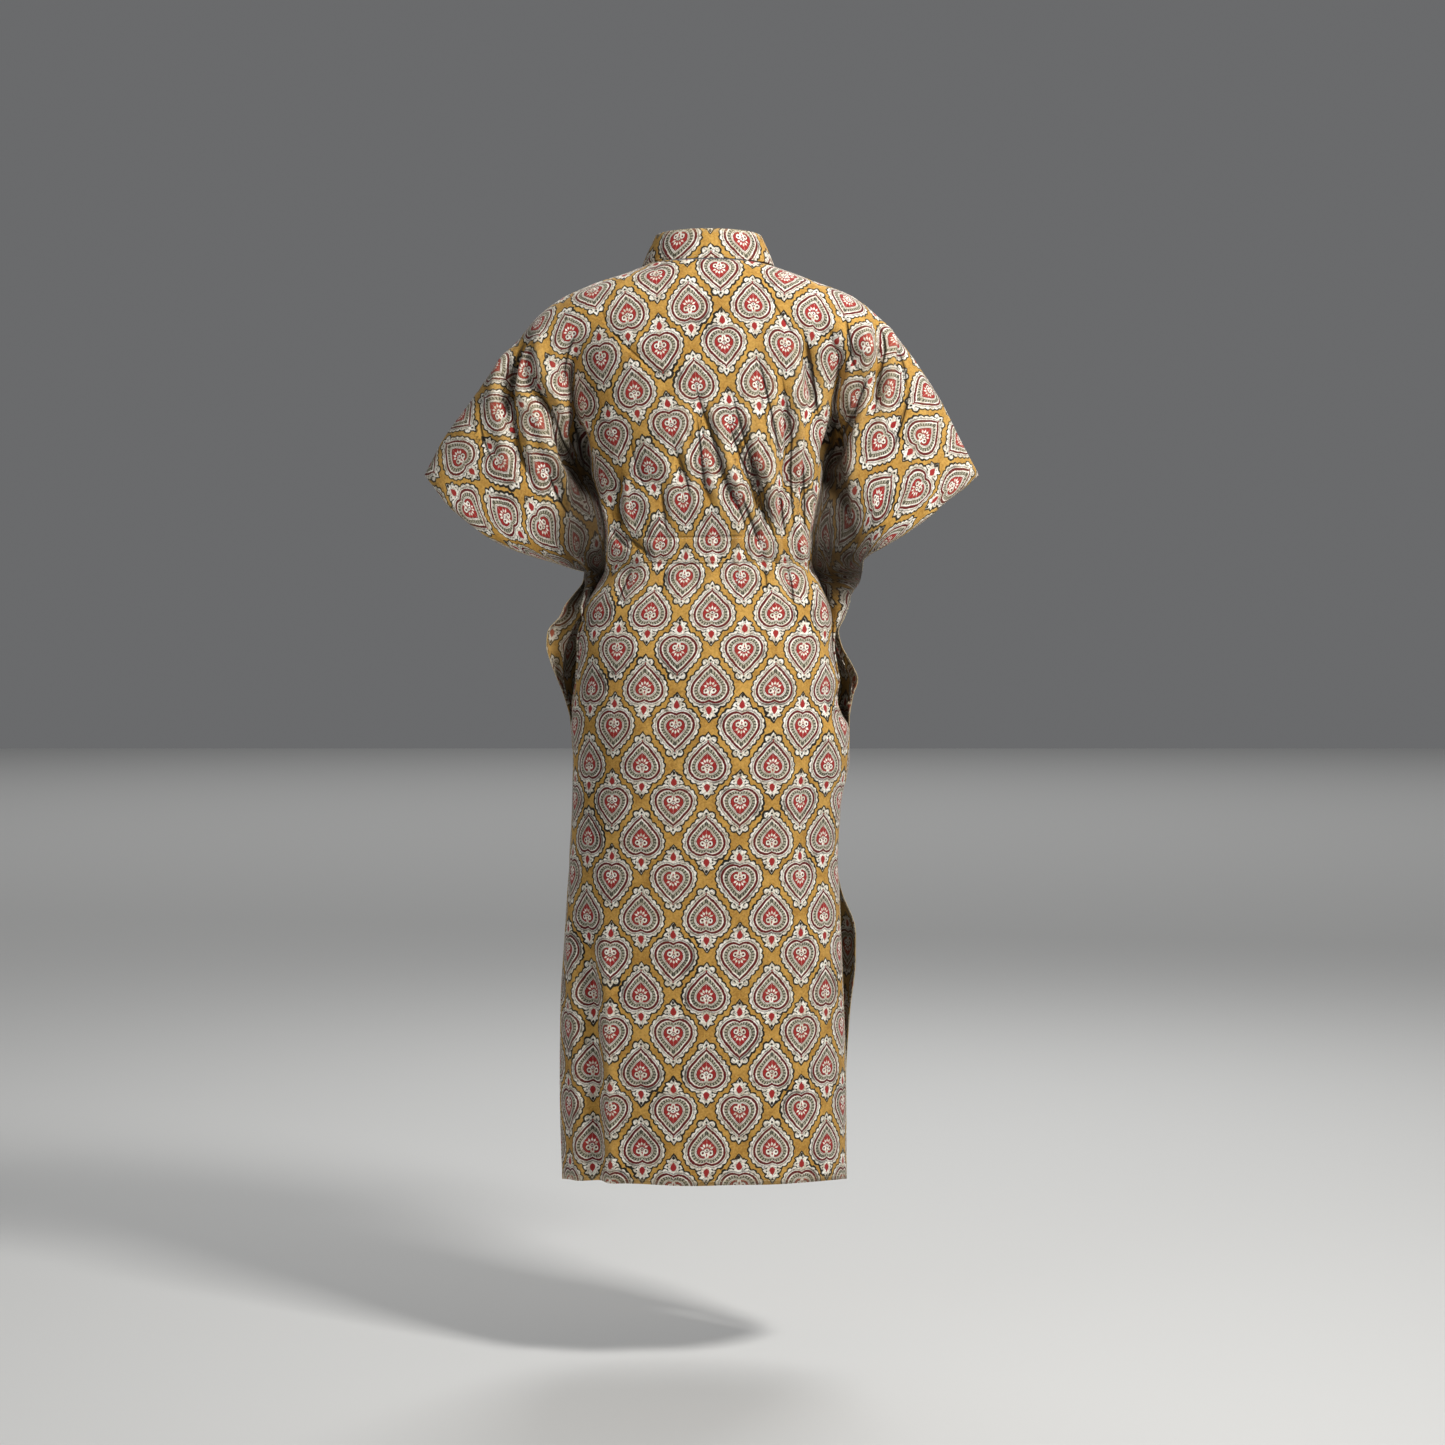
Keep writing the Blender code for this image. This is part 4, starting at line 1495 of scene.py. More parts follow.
    def band_edge(self, spot: Spot) -> Socket:
        """The scalloped white band, with the flower at the motif's tip and the crown and leaves at its foot.

        Args:
            spot: the place on the print.

        Returns:
            How far the place lies outside them, below zero inside.
        """
        g = spot.g
        bumps = g.math("ABSOLUTE", g.math("SINE", g.times(spot.turn, self.scallops * math.pi)))
        edge = g.less(spot.past, g.sum(g.times(bumps, 1.9), 5.0))
        for piece in (
            spot.drop(26.0, 40.5, 4.2, 0.85),
            spot.circle((6.6, 32.4), 3.7),
            spot.drop(-19.5, -42.0, 7.6, 0.66),
            spot.leaf((4.0, -29.0), (12.0, -26.0), 2.6),
            spot.leaf((3.0, -33.0), (9.2, -34.5), 1.9),
        ):
            edge = g.math("MINIMUM", edge, piece)
        return edge

    def ring(self, spot: Spot, colour: Socket, smudge: Socket) -> Socket:
        """Paints the dark red line and the ticked green ring inside it.

        Args:
            spot: the place on the print.
            colour: the colour so far.
            smudge: how smudged the print is there.

        Returns:
            The colour.
        """
        g = spot.g
        part = spot.part
        tick = g.math("SINE", g.times(spot.turn, self.ticks * 2.0 * math.pi))
        green = g.mix(g.times(g.fade(tick, 0.45, -0.05), 0.92), self.grey_green, self.black)
        green = g.mix(g.fade(part, 0.700, 0.720), green, self.deep_green)
        green = g.mix(g.times(smudge, 0.45), green, self.black)
        colour = g.mix(g.between(spot.past, -1.6, 1.5, 0.5), colour, self.dark_red)
        colour = g.mix(g.between(part, 0.650, 0.855, 0.03), colour, green)
        return g.mix(g.times(g.between(part, 0.580, 0.612, 0.02), 0.75), colour, self.grey_line)

    def marks(self, spot: Spot, colour: Socket, white: Socket) -> Socket:
        """Paints the small marks in the flower and the crown, the curls' lines and a heart's blacker crown.

        Args:
            spot: the place on the print.
            colour: the colour so far.
            white: how far the place lies outside the white band.

        Returns:
            The colour.
        """
        g = spot.g
        for piece, shade in (
            (spot.drop(-22.5, -33.5, 3.6, 0.7), self.red),
            (spot.drop(-36.4, -41.0, 1.7, 0.9), self.black),
            (spot.circle((0.0, 34.6), 1.3), self.black),
            (spot.circle((0.0, 30.6), 0.8), self.red),
            (spot.circle((7.4, -27.6), 0.8), self.black),
        ):
            colour = g.mix(g.fade(piece, -0.1, 0.4), colour, shade)
        curl = spot.circle((7.0, 32.0), 0.0)
        ring = g.fade(g.math("ABSOLUTE", g.less(curl, 1.9)), 0.5, 1.1)
        colour = g.mix(g.times(ring, g.fade(g.sum(spot.x, spot.y), 36.5, 39.0)), colour, self.black)
        rim = g.fade(g.math("ABSOLUTE", g.less(curl, 4.3)), 0.3, 0.8)
        rim = g.times(rim, g.times(g.fade(spot.x, 2.6, 1.8), g.fade(spot.past, 1.4, 2.2)))
        colour = g.mix(g.times(rim, g.fade(white, 0.4, 1.2)), colour, self.black)
        crown = g.times(g.fade(spot.drop(-31.0, -42.5, 5.2, 1.5), -0.4, 0.6), spot.heart)
        crown = g.times(crown, g.fade(g.noise(spot.flat, 210.0, 1.0), 0.66, 0.50))
        return g.mix(crown, colour, self.black)

    def heart_of(self, spot: Spot, cream: Socket) -> Socket:
        """Paints the red middle of a motif, with its petals, eye and curls.

        Args:
            spot: the place on the print.
            cream: the uneven cream colour.

        Returns:
            The colour.
        """
        g = spot.g
        aside = g.math("PINGPONG", spot.turn, self.petal_turn / 2.0)
        aside = g.times(g.times(aside, math.pi), spot.away)
        swell = g.times(g.math("SINE", g.times(g.fade(spot.away, 8.6, 4.2), math.pi)), 1.25)
        petals = g.times(g.fade(g.less(aside, swell), -0.15, 0.25), g.fade(spot.turn, 0.42, 0.45))
        fill = g.mix(petals, self.red, cream)
        fill = g.mix(g.between(spot.part, 0.505, 0.545, 0.02), fill, self.dark_red)
        for piece, shade in (
            (spot.circle((4.6, -3.4), 4.1), self.dark_red),
            (spot.circle((4.6, -3.4), 3.3), cream),
            (spot.circle((4.9, -3.2), 1.4), self.dark_red),
            (spot.drop(-2.6, -12.0, 2.6, 0.8), cream),
            (spot.drop(-3.4, -8.0, 0.9, 0.8), self.red),
            (spot.leaf((-4.2, 0.3), (4.2, 0.3), 2.5), self.dark_red),
            (spot.leaf((-3.4, 0.3), (3.4, 0.3), 1.8), cream),
            (spot.circle((0.0, 0.2), 0.9), self.black),
        ):
            fill = g.mix(g.fade(piece, -0.2, 0.2), fill, shade)
        return fill

    def aged(self, g: Graph, colour: Socket, flat: Socket) -> Socket:
        """Dulls the colour unevenly, as washed cotton is, and rubs it paler at the edges and on the folds.

        Args:
            g: the material's graph.
            colour: the print's colour.
            flat: the flat cloth's coordinates in metres.

        Returns:
            The colour of the worn cloth.
        """
        cloud = g.noise(flat, 9.0, 4.0, 0.6)
        dull = g.mix(g.times(g.fade(cloud, 0.30, 0.70), 0.10), colour, self.cloth)
        rubbing = g.times(g.attribute("worn", "Fac"), g.fade(g.noise(flat, 620.0, 3.0, 0.65), 0.62, 0.38))
        dull = g.mix(g.times(rubbing, 0.42), dull, self.rubbed)
        if self.strength >= 1.0:
            return dull
        return g.mix(1.0 - self.strength, dull, self.cloth)

    def folded(self, g: Graph, colour: Socket) -> tuple[Socket, Socket]:
        """Draws the sharp line of each fold as a bump with painted shade along it, and paints shade deep in
        the hollows.

        Args:
            g: the material's graph.
            colour: the colour of the cloth.

        Returns:
            The colour with the painted shade, and the folds' height in mm.
        """
        away, deep = (g.split(g.attribute(name, "Vector")) for name in ("fold_away", "fold_deep"))
        height, fold_shade = 0.0, 0.0
        for at, depth in zip(away, deep):
            place = g.sum(g.times(at, 0.5 / self.fold_reach), 0.5)
            height = g.sum(height, g.times(g.less(g.curve(place, self.fold_profile), 0.5), depth))
            # Painted shade along the fold's line, stronger for deep folds
            near = g.fade(g.math("ABSOLUTE", g.less(at, 0.9)), 0.3, 3.2)
            fold_shade = g.sum(fold_shade, g.times(near, g.fade(depth, 3.6, 0.9)))
        colour = g.mix(g.times(g.math("MINIMUM", fold_shade, 1.0), self.fold_painted_shade), colour, self.shade)
        # Painted shade in the hollows between the body and the sleeves, by the sunk attribute
        return g.mix(g.times(g.attribute("sunk", "Fac"), self.hollow_painted_shade), colour, self.shade), height

    def weave(self, spot: Spot, ink: Socket) -> Socket:
        """The bump of a plain weave with uneven threads, crumples and fine pleats.

        Args:
            spot: the place on the print.
            ink: how much ink lies there.

        Returns:
            The bumped normal.
        """
        g = spot.g
        flat = spot.flat
        threads = g.sum(
            g.noise(g.stretched(flat, 1.0, self.thread_stretch), self.thread_scale, 1.0),
            g.noise(g.stretched(flat, self.thread_stretch, 1.0), self.thread_scale, 1.0),
        )
        crumple = g.noise(flat, 60.0, 4.0, 0.6)
        height = g.sum(g.times(threads, 0.10), g.sum(g.times(crumple, 0.9), g.times(ink, 0.02)))
        drawn = g.stretched(flat, 1.0, self.pleats_stretch, self.pleats_turn)
        pleats = g.times(g.noise(drawn, self.pleats_scale, 1.5), g.between(spot.v, *self.pleats_reach, 70.0))
        pleats = g.times(pleats, g.sum(g.fade(spot.u, 60.0, -40.0), 0.35))
        return g.bump(g.sum(height, g.times(pleats, self.pleats_height)), 0.35, 0.0012)


@dataclass(frozen=True)
class Thread:
    """Matt sewing thread, or the pale fold of a hem."""

    name: str
    colour: Colour = rgb(222, 206, 168)
    darkening: float = 0.72
    roughness: float = 0.8
    sheen: float = 0.2

    def material(self) -> bpy.types.Material:
        """Makes the material.

        Returns:
            The material, in Object coordinates.
        """
        g = Graph(self.name)
        place = g.nodes.new("ShaderNodeTexCoord").outputs["Object"]
        darker = (*(part * self.darkening for part in self.colour[:3]), 1.0)
        return g.dress(
            {
                "Base Color": g.mix(g.fade(g.noise(place, 240.0), 0.62, 0.38), darker, self.colour),
                "Roughness": self.roughness,
                "Sheen Weight": self.sheen,
                "Normal": g.bump(g.noise(place, 2400.0, 1.0), 0.3, 0.0003),
            }
        )


@dataclass(frozen=True)
class Surface:
    """What the cloth's finish reads at each place of a lattice.

    These are its position on the flat cloth, how worn it is, how sunk it is in the hollows where shade is
    painted, and, in mm, how far it lies beside the folds and how deep they are.
    """

    flat: Places
    worn: Places
    sunk: Places
    fold_away: Places
    fold_deep: Places


NUMBERS = ("worn", "sunk")
VECTORS = ("fold_away", "fold_deep")
GARMENT_MIDDLE = Vector((0.0, 0.0, -0.4))


def grid(columns: int, rows: int) -> tuple[bmesh.types.BMesh, dict]:
    """A flat lattice with the cloth's UV map and attributes.

    Args:
        columns: how many columns of faces.
        rows: how many rows of faces.

    Returns:
        The mesh, and each corner's row and column.
    """
    shape = bmesh.new()
    shape.loops.layers.uv.new("cloth")
    for name in NUMBERS:
        shape.verts.layers.float.new(name)
    for name in VECTORS:
        shape.verts.layers.float_vector.new(name)
    bmesh.ops.create_grid(shape, x_segments=columns, y_segments=rows, size=1.0)
    places = {}
    for corner in shape.verts:
        column = round((corner.co.x + 1.0) / 2.0 * columns)
        row = round((1.0 - corner.co.y) / 2.0 * rows)
        places[corner] = (row, column)
    return shape, places


def sheet_shape(points: Places, surface: Surface, removed: np.ndarray | None = None) -> bmesh.types.BMesh:
    """A sheet of cloth through the lattice's places, facing away from the hollow.

    Args:
        points: the lattice's places.
        surface: what the finish reads at each place.
        removed: which faces to leave out, by row and column.

    Returns:
        The shape, with its UV map and attributes.
    """
    shape, places = grid(points.shape[1] - 1, points.shape[0] - 1)
    layer = shape.loops.layers.uv["cloth"]
    layers = [(shape.verts.layers.float[name], getattr(surface, name)) for name in NUMBERS]
    layers += [(shape.verts.layers.float_vector[name], getattr(surface, name)) for name in VECTORS]
    for square in shape.faces:
        for loop in square.loops:
            loop[layer].uv = surface.flat[places[loop.vert]]
    if removed is not None:
        gone = []
        for square in shape.faces:
            row, column = (min(places[corner][axis] for corner in square.verts) for axis in (0, 1))
            if removed[row, column]:
                gone.append(square)
        bmesh.ops.delete(shape, geom=gone, context="FACES")
    for corner in shape.verts:
        place = places[corner]
        corner.co = points[place]
        for key, values in layers:
            corner[key] = values[place]
    shape.normal_update()
    ways = ((square.calc_center_median() - GARMENT_MIDDLE, square) for square in shape.faces)
    if sum(way.dot(square.normal) * square.calc_area() for way, square in ways) < 0.0:
        bmesh.ops.reverse_faces(shape, faces=shape.faces)
    return shape


def add_piece(shape: bmesh.types.BMesh, name: str, *materials: bpy.types.Material) -> bpy.types.Object:
    """Makes a shape into a smooth object on the garment's body.

    Args:
        shape: the shape, which is let go.
        name: the object's name.
        materials: its materials, in order.

    Returns:
        The object.
    """
    mesh = bpy.data.meshes.new(name)
    shape.to_mesh(mesh)
    shape.free()
    mesh.shade_smooth()
    for material in materials:
        mesh.materials.append(material)
    piece = bpy.data.objects.new(name, mesh)
    bpy.context.scene.collection.objects.link(piece)
    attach(piece, BODY_NAME)
    return piece


def thicken(cloth: bpy.types.Object, thickness: float, rim: int) -> None:
    """Gives a sheet its thickness.

    Args:
        cloth: the sheet, whose second material is its inside's.
        thickness: how thick it is.
        rim: how many materials on from the first its rim's is.
    """
    skin = cloth.modifiers.new("cloth", "SOLIDIFY")
    skin.thickness = thickness
    skin.offset = 1.0
    skin.material_offset = 1
    skin.material_offset_rim = rim


def append(shape: bmesh.types.BMesh, part: bmesh.types.BMesh) -> None:
    """Adds one shape to another.

    Args:
        shape: the shape to add to.
        part: the shape to add, which is let go.
    """
    made = bpy.data.meshes.new("part")
    part.to_mesh(made)
    part.free()
    shape.from_mesh(made)
    bpy.data.meshes.remove(made)


@dataclass(frozen=True)
class StitchRun:
    """One row of sewing stitches as small raised beads of thread."""

    length: float = 0.0030
    gap: float = 0.0016
    thickness: float = 0.00055
    sunk: float = 0.0001
    sides: int = 4
    # Each ring's place along a stitch, and its share of the thickness
    rings: tuple[Pair, ...] = ((0.0, 0.1), (0.12, 0.8), (0.5, 1.0), (0.88, 0.8), (1.0, 0.1))

    def add(self, shape: bmesh.types.BMesh, line: Places, normals: Places) -> int:
        """Adds the stitches along a line.

        Args:
            shape: the mesh to add to.
            line: the line's places.
            normals: the cloth's outward direction at each.

        Returns:
            How many stitches there are.
        """
        run = run_of(line)
        count = int(run[-1] // (self.length + self.gap))
        starts = np.arange(count) * (self.length + self.gap) + self.gap / 2.0
        shares, sizes = np.array(self.rings).T
        at = (starts[:, None] + shares * self.length).ravel()
        middle = places_at(line, run, at)
        out = directions(places_at(normals, run, at))
        aside = directions(np.cross(out, directions(np.gradient(middle, axis=0))))
        size = np.tile(sizes, count)[:, None] * self.thickness
        beads = []
        for turn in np.linspace(0.0, math.pi, self.sides + 1):
            beads.append(middle - out * self.sunk + (aside * 0.5 * np.cos(turn) + out * np.sin(turn)) * size)
        per = len(self.rings)
        part, places = grid(count * per - 1, self.sides)
        between = []
        for square in part.faces:
            if min(places[corner][1] for corner in square.verts) % per == per - 1:
                between.append(square)
        bmesh.ops.delete(part, geom=between, context="FACES")
        for corner in part.verts:
            row, column = places[corner]
            corner.co = beads[row][column]
        append(shape, part)
        return count


@dataclass(frozen=True)
class HemmedEdge:
    """A stretch of a panel's edge by row and column, and the step from it into the cloth."""

    rows: np.ndarray
    columns: np.ndarray
    step: tuple[int, int]

    def read(self, values: Places, inwards: int = 0) -> Places:
        """The values on the edge, or this many steps in from it."""
        return values[self.rows + inwards * self.step[0], self.columns + inwards * self.step[1]]

    def way_in(self, points: Places) -> Places:
        """The direction into the cloth at each place."""
        return directions(self.read(points, 3) - self.read(points))


@dataclass(frozen=True)
class Panel:
    """The back or the front of the kaftan, with its sleeves, hems and stitching."""

    form: PanelForm
    flat_width: float
    flat_length: float
    flat_area: float
    layout: ClothLayout
    cloth_thickness: float = 0.0007
    hem_width: float = 0.006
    hem_offset: float = 0.0009
    hem_seam_share: float = 0.85
    hem_print_step: float = 0.002
    # The heights from and to which each side edge is hemmed: the cuff, the edge below the arm and the slit
    side_hems: tuple[Pair, ...] = ((-0.268, -0.393), (-0.425, -0.585), (-0.775, -2.0))
    casing_levels: Pair = (-0.351, -0.381)
    casing_share: float = 0.465
    rubbed_reach: float = 0.005
    sharp_ridge: float = 0.004
    ridge_wear: float = 0.5
    # Where shade is painted in the hollow between the body and each sleeve
    hollow_reach: float = 0.018
    hollow_over_crest: float = 1.5
    hollow_from: Pair = (0.16, 0.27)
    hollow_to: Pair = (0.41, 0.46)

    @property
    def name(self) -> str:
        """The panel's node and piece name."""
        return self.form.face.value

    def build(self, finishes: dict[str, bpy.types.Material]) -> Places:
        """Builds and dresses the panel.

        Args:
            finishes: the materials by name.

        Returns:
            The lattice's places.
        """
        lattice = self.form.lattice()
        flat = self.layout.flatten(lattice)
        folds = FoldLines(self.form.creases).read(lattice.points)
        surface = Surface(flat, self.worn(lattice), self.sunk(lattice), *folds)
        shape = sheet_shape(lattice.points, surface, self.slit(lattice))
        materials = [finishes[name] for name in ("print", "reverse", "edge")]
        cloth = add_piece(shape, self.name + "_cloth", *materials)
        thicken(cloth, self.cloth_thickness, 2)
        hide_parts(self.name)
        hem = self.add_hems(lattice, flat, finishes["reverse"])
        stitches = self.add_stitches(lattice, finishes["thread"])
        LOG.info("%s: %d faces", self.name, len(cloth.data.polygons))
        return lattice.points

    def worn(self, lattice: Lattice) -> Places:
        """How worn the print is: most at the seams and hems, and some on the folds' ridges.

        Args:
            lattice: the draped panel.

        Returns:
            A number from 0 to 1 for each place.
        """
        points = lattice.points
        half = np.linalg.norm(np.diff(points, axis=1), axis=-1).sum(axis=1)[:, None] / 2.0
        side = np.exp(-(((1.0 - lattice.share) * half / self.rubbed_reach) ** 2))
        hem = np.exp(-(((points[..., 2] - points[-1:, :, 2]) / self.rubbed_reach) ** 2))
        ridge = np.zeros(lattice.share.shape)
        beside = (points[:, 6:] + points[:, :-6]) / 2.0
        ridge[:, 3:-3] = ((points[:, 3:-3] - beside) * lattice.outwards()[:, 3:-3]).sum(-1)
        sharp = np.clip(ridge / self.sharp_ridge, 0.0, 1.0)
        return np.maximum(np.maximum(side, hem), sharp * self.ridge_wear)

    def sunk(self, lattice: Lattice) -> Places:
        """How far each place lies in the deep hollow between the body and a sleeve, where the finish paints
        shade.

        Args:
            lattice: the draped panel.

        Returns:
            A number from 0 to 1 for each place.
        """
        levels = lattice.levels
        level = smooth_step(-levels, *self.hollow_from) * (1.0 - smooth_step(-levels, *self.hollow_to))
        halves = []
        middle = lattice.share.shape[1] // 2
        for side, past in zip(Side, np.split(lattice.share - BODY_SHARE, [middle], axis=1)):
            crest = BODY_SHARE * SLEEVE.read(side.value + "_share", levels)
            width = self.hollow_reach + np.where(past > 0.0, self.hollow_over_crest * crest, 0.0)
            halves.append(np.exp(-((past / width) ** 6)) * level)
        return np.concatenate(halves, axis=1)

    def slit(self, lattice: Lattice) -> np.ndarray | None:
        """Finds the neck slit, where the panel has one.

        Args:
            lattice: the draped panel.

        Returns:
            Which faces to leave out, by row and column.
        """
        if lattice.face is Face.BACK:
            return None
        removed = np.zeros(lattice.last, bool)
        middle = lattice.last[1] // 2
        removed[:, middle] = lattice.points[1:, middle, 2] > NECK_LEVEL - NECK_FRONT_DROP - NECK_SLIT_LENGTH
        return removed

    def edges(self, lattice: Lattice) -> list[HemmedEdge]:
        """The panel's hemmed edges.

        Args:
            lattice: the draped panel.

        Returns:
            Each side's cuff, edge below the arm and slit, then the bottom hem.
        """
        last_row, last_column = lattice.last
        found = []
        for column, step in ((0, 1), (last_column, -1)):
            for start, end in self.side_hems:
                rows = np.where((lattice.heights <= start) & (lattice.heights >= end))[0]
                found.append(HemmedEdge(rows, np.full(len(rows), column), (0, step)))
        columns = np.arange(last_column + 1)
        return [*found, HemmedEdge(np.full(len(columns), last_row), columns, (-1, 0))]

    def add_hems(self, lattice: Lattice, flat: Places, reverse: bpy.types.Material) -> bpy.types.Object:
        """Adds the turned-in hems inside the cuffs, slits and hem.

        Args:
            lattice: the draped panel.
            flat: each place's position on the flat cloth.
            reverse: the cloth's inside.

        Returns:
            The hems, as one piece.
        """
        # Across a hem: how far under the cloth, and how far in from its edge
        profile = (
            (0.0001, 0.0),
            (self.hem_offset, 0.0004),
            (self.hem_offset, self.hem_width * 0.5),
            (self.hem_offset, self.hem_width),
            (0.0002, self.hem_width + 0.0003),
        )
        outside = lattice.outwards()
        shape = bmesh.new()
        for edge in self.edges(lattice):
            place, out, way = edge.read(lattice.points), edge.read(outside), edge.way_in(lattice.points)
            strip = np.stack([place - out * under + way * inwards for under, inwards in profile])
            part, places = grid(len(place) - 1, len(profile) - 1)
            layer = part.loops.layers.uv["cloth"]
            at = edge.read(flat)
            for square in part.faces:
                for loop in square.loops:
                    row, column = places[loop.vert]
                    loop[layer].uv = (at[column][0] + self.hem_print_step * row, at[column][1])
            for corner, (row, column) in places.items():
                corner.co = strip[row, column]
            append(shape, part)
        hems = add_piece(shape, self.name + "_hems", reverse)
        return hems

    def add_stitches(self, lattice: Lattice, thread: bpy.types.Material) -> bpy.types.Object:
        """Adds the rows of stitches along the casing, the cuffs, the slits and the hem.

        Args:
            lattice: the draped panel.
            thread: the thread's material.

        Returns:
            The stitches, as one piece.
        """
        normals = lattice.outwards()
        skin = lattice.points + normals * self.cloth_thickness
        shape = bmesh.new()
        run = StitchRun()
        count = 0
        for level in self.casing_levels:
            row = int(np.argmin(np.abs(lattice.heights - level)))
            own = lattice.share[row] < self.casing_share
            count += run.add(shape, skin[row][own], normals[row][own])
        for edge in self.edges(lattice):
            line = edge.read(skin) + edge.way_in(skin) * self.hem_width * self.hem_seam_share
            count += run.add(shape, line, edge.read(normals, 1))
        LOG.info("%s: %d stitches", self.name, count)
        return add_piece(shape, self.name + "_stitches", thread)


@dataclass(frozen=True)
class Collar:
    """The band collar on the neckline, open at the centre front."""

    height: float = 0.038
    top_share: float = 0.80
    top_depth_share: float = 0.88
    swell: float = 0.010
    wall: float = 0.0018
    base_lift: float = 0.0016
    rows: int = 12
    columns: int = 239
    end_reach: float = 0.006
    end_drop: float = 0.006
    end_drop_from: float = 0.6
    rubbed_reach: float = 0.004
    edge_width: float = 0.0006
    edge_angle: float = 50.0
    print_shift: Pair = (-0.003, 0.0226)
    print_share: float = 0.88

    def build(self, back: Places, front: Places, finishes: dict[str, bpy.types.Material]) -> None:
        """Builds and dresses the collar.

        Args:
            back: the back's lattice.
            front: the front's lattice.
            finishes: the materials by name.
        """
        half = (front.shape[1] - 1) // 2
        neckline = np.vstack([front[0, half:0:-1], back[0], front[0, -2:half:-1]])
        run = run_of(neckline)
        even = np.linspace(0.0, run[-1], self.columns + 1)
        base = places_at(neckline, run, even)
        up = np.linspace(1.0, 0.0, self.rows + 1)[:, None]
        swell = 1.0 + self.swell * np.sin(up * math.pi)
        ends = np.exp(-((np.minimum(even, even[-1] - even) / self.end_reach) ** 2))
        drop = self.end_drop * ends * smooth_step(up, self.end_drop_from, 1.0)
        x = base[:, 0] * (1.0 + (self.top_share - 1.0) * up) * swell
        y = base[:, 1] * (1.0 + (self.top_depth_share - 1.0) * up) * swell
        points = np.stack([x, y, base[:, 2] + self.base_lift + self.height * up - drop], axis=-1)
        across = np.tile((even - even[-1] / 2.0) * self.print_share, (self.rows + 1, 1)) + self.print_shift[0]
        raised = np.tile(self.height * up, (1, len(even))) + self.print_shift[1]
        worn = np.tile(np.exp(-(((1.0 - up) * self.height / self.rubbed_reach) ** 2)), (1, len(even)))
        plain = np.zeros(points.shape)
        surface = Surface(np.stack([across, raised], axis=-1), worn, plain[..., 0], plain, plain)
        shape = sheet_shape(points, surface)
        collar = add_piece(shape, "collar_cloth", finishes["print"], finishes["reverse"])
        thicken(collar, self.wall, 0)
        rounded = collar.modifiers.new("edges", "BEVEL")
        rounded.width = self.edge_width
        rounded.segments = 2
        rounded.limit_method = "ANGLE"
        rounded.angle_limit = math.radians(self.edge_angle)
        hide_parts("collar")
        stitches = self.add_stitches(points, finishes["thread"])
        LOG.info("collar: %.3f m round", even[-1])

    def add_stitches(self, points: Places, thread: bpy.types.Material) -> bpy.types.Object:
        """Adds the collar's topstitching.

        Args:
            points: the collar's places.
            thread: the thread's material.

        Returns:
            The stitches, as one piece.
        """
        away = points * (1.0, 1.0, 0.0)
        normals = away / np.linalg.norm(away, axis=-1, keepdims=True)
        skin = points + normals * self.wall
        shape = bmesh.new()
        run = StitchRun()
        for row in (1, self.rows - 1):
            run.add(shape, skin[row, 3:-3], normals[row, 3:-3])
        return add_piece(shape, "collar_stitches", thread)


@dataclass(frozen=True)
class AreaLight:
    """One soft studio light."""

    name: str
    place: tuple[float, float, float]
    power: float
    size: float
    colour: tuple[float, float, float] = (1.0, 1.0, 1.0)
    aim: tuple[float, float, float] = (0.0, 0.0, -0.5)

    def add(self) -> None:
        """Adds the light."""
        data = bpy.data.lights.new(self.name, "AREA")
        data.energy = self.power
        data.size = self.size
        data.color = self.colour
        light = bpy.data.objects.new(self.name, data)
        light.location = self.place
        light.rotation_euler = (Vector(self.aim) - Vector(self.place)).to_track_quat("-Z", "Y").to_euler()
        bpy.context.scene.collection.objects.link(light)


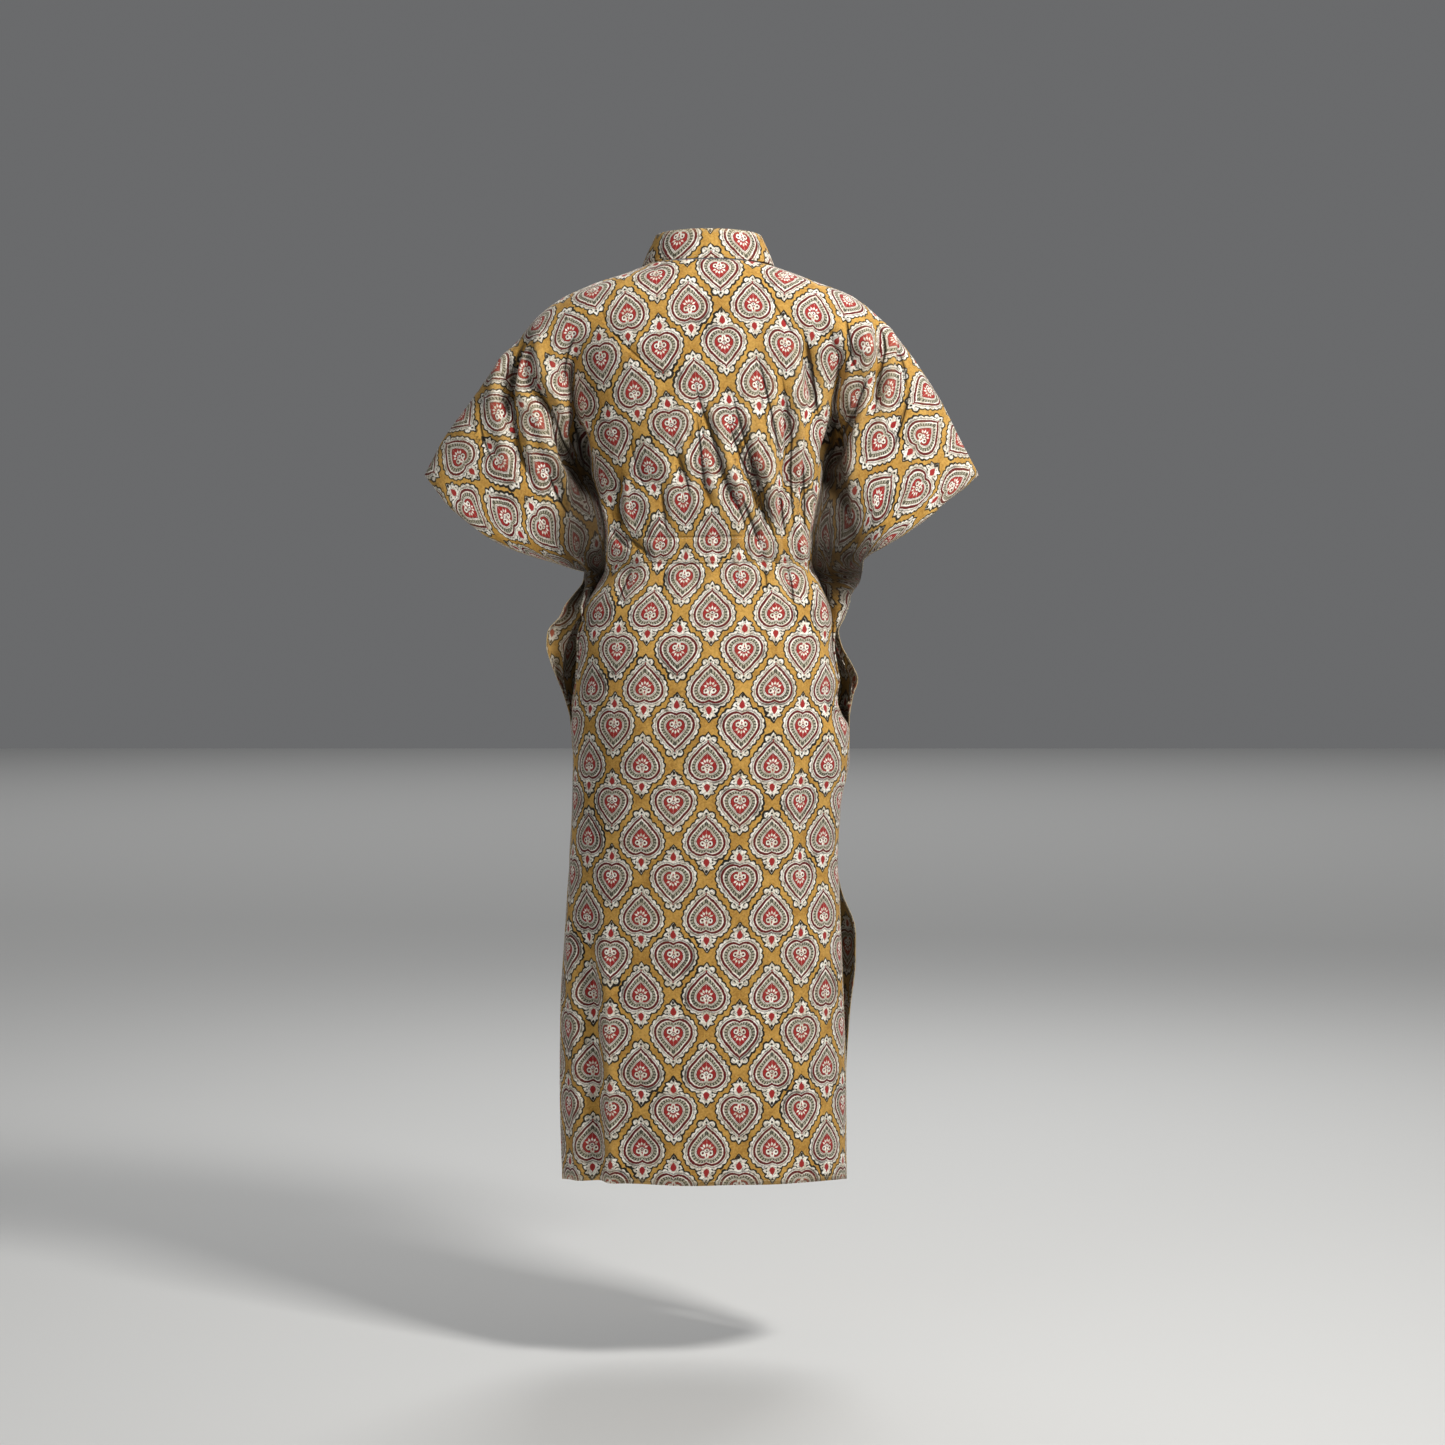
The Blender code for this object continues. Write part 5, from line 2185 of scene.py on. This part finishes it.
@dataclass(frozen=True)
class Studio:
    """A plain pale floor, soft light, and the camera."""

    floor_level: float = -1.395
    floor_size: float = 40.0
    floor_colour: Colour = (0.62, 0.62, 0.61, 1.0)
    floor_roughness: float = 0.9
    world_colour: Colour = (0.80, 0.81, 0.83, 1.0)
    world_strength: float = 0.18
    camera_place: tuple[float, float, float] = (0.018, -3.9, -0.467)
    camera_pitch: float = 1.735
    focal_length: float = 75.9
    lights: tuple[AreaLight, ...] = (
        AreaLight("key", (1.30, -1.40, 1.30), 78.0, 0.5, (1.0, 0.985, 0.96), (0.0, 0.0, -0.15)),
        AreaLight("fill", (-2.4, -3.0, 0.2), 14.0, 2.0, (0.94, 0.97, 1.0)),
        AreaLight("rim", (0.6, 2.6, 1.8), 60.0, 1.6),
        AreaLight("floor", (0.0, 11.0, 6.5), 400.0, 12.0, aim=(0.0, 11.0, -1.4)),
    )

    def build(self) -> None:
        """Builds the floor, the light and the camera."""
        shape = bmesh.new()
        bmesh.ops.create_grid(shape, x_segments=1, y_segments=1, size=self.floor_size / 2.0)
        mesh = bpy.data.meshes.new("floor")
        shape.to_mesh(mesh)
        shape.free()
        floor = bpy.data.objects.new("floor", mesh)
        floor.location.z = self.floor_level
        paint = {"Base Color": self.floor_colour, "Roughness": self.floor_roughness}
        mesh.materials.append(Graph("pale_floor").dress(paint))
        bpy.context.scene.collection.objects.link(floor)
        for light in self.lights:
            light.add()
        world = bpy.data.worlds.new("studio")
        world.use_nodes = True
        background = world.node_tree.nodes["Background"]
        background.inputs["Color"].default_value = self.world_colour
        background.inputs["Strength"].default_value = self.world_strength
        bpy.context.scene.world = world
        data = bpy.data.cameras.new("camera")
        data.lens = self.focal_length
        data.sensor_width = 36.0
        camera = bpy.data.objects.new("camera", data)
        camera.location = self.camera_place
        camera.rotation_euler = (math.radians(90.0 - self.camera_pitch), 0.0, 0.0)
        bpy.context.scene.collection.objects.link(camera)
        bpy.context.scene.camera = camera
        bpy.context.scene.view_settings.view_transform = "Standard"


BACK_PANEL = Panel(
    form=PanelForm(
        face=Face.BACK,
        columns=220,
        rows=(16, 56, 34, 46, 64),
        creases=BACK_CREASES,
    ),
    flat_width=1.00,
    flat_length=1.20,
    flat_area=0.75,
    layout=ClothLayout(
        left=SleeveCut(neck=(-0.0545, 0.535), tip=(-0.476, 0.522), underarm=(-0.476, 0.278)),
        right=SleeveCut(neck=(0.1105, 0.535), tip=(0.522, 0.533), underarm=(0.514, 0.328)),
        gathered=(0.17, 0.03),
    ),
)
FRONT_PANEL = Panel(
    form=PanelForm(
        face=Face.FRONT,
        columns=121,
        rows=(12, 42, 26, 34, 50),
        creases=FRONT_CREASES,
        gathers=Gathers(left_depth=0.0018, right_depth=0.0018),
    ),
    flat_width=0.98,
    flat_length=1.19,
    flat_area=0.72,
    layout=ClothLayout(
        left=SleeveCut(neck=(-0.0825, 0.535), tip=(-0.490, 0.515), underarm=(-0.490, 0.265)),
        right=SleeveCut(neck=(0.0825, 0.535), tip=(0.490, 0.515), underarm=(0.490, 0.300)),
    ),
)


def main() -> None:
    """Builds the kaftan and its studio."""
    logging.basicConfig(level=logging.INFO, format="%(message)s")
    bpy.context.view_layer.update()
    Studio().build()
    finishes = {
        "print": BlockPrint("block_print").material(),
        "reverse": BlockPrint("block_print_reverse", strength=0.62).material(),
        "edge": Thread("folded_edge", rgb(206, 184, 140)).material(),
        "thread": Thread("sewing_thread").material(),
    }
    back = BACK_PANEL.build(finishes)
    front = FRONT_PANEL.build(finishes)
    Collar().build(back, front, finishes)


if __name__ == "__main__":
    main()
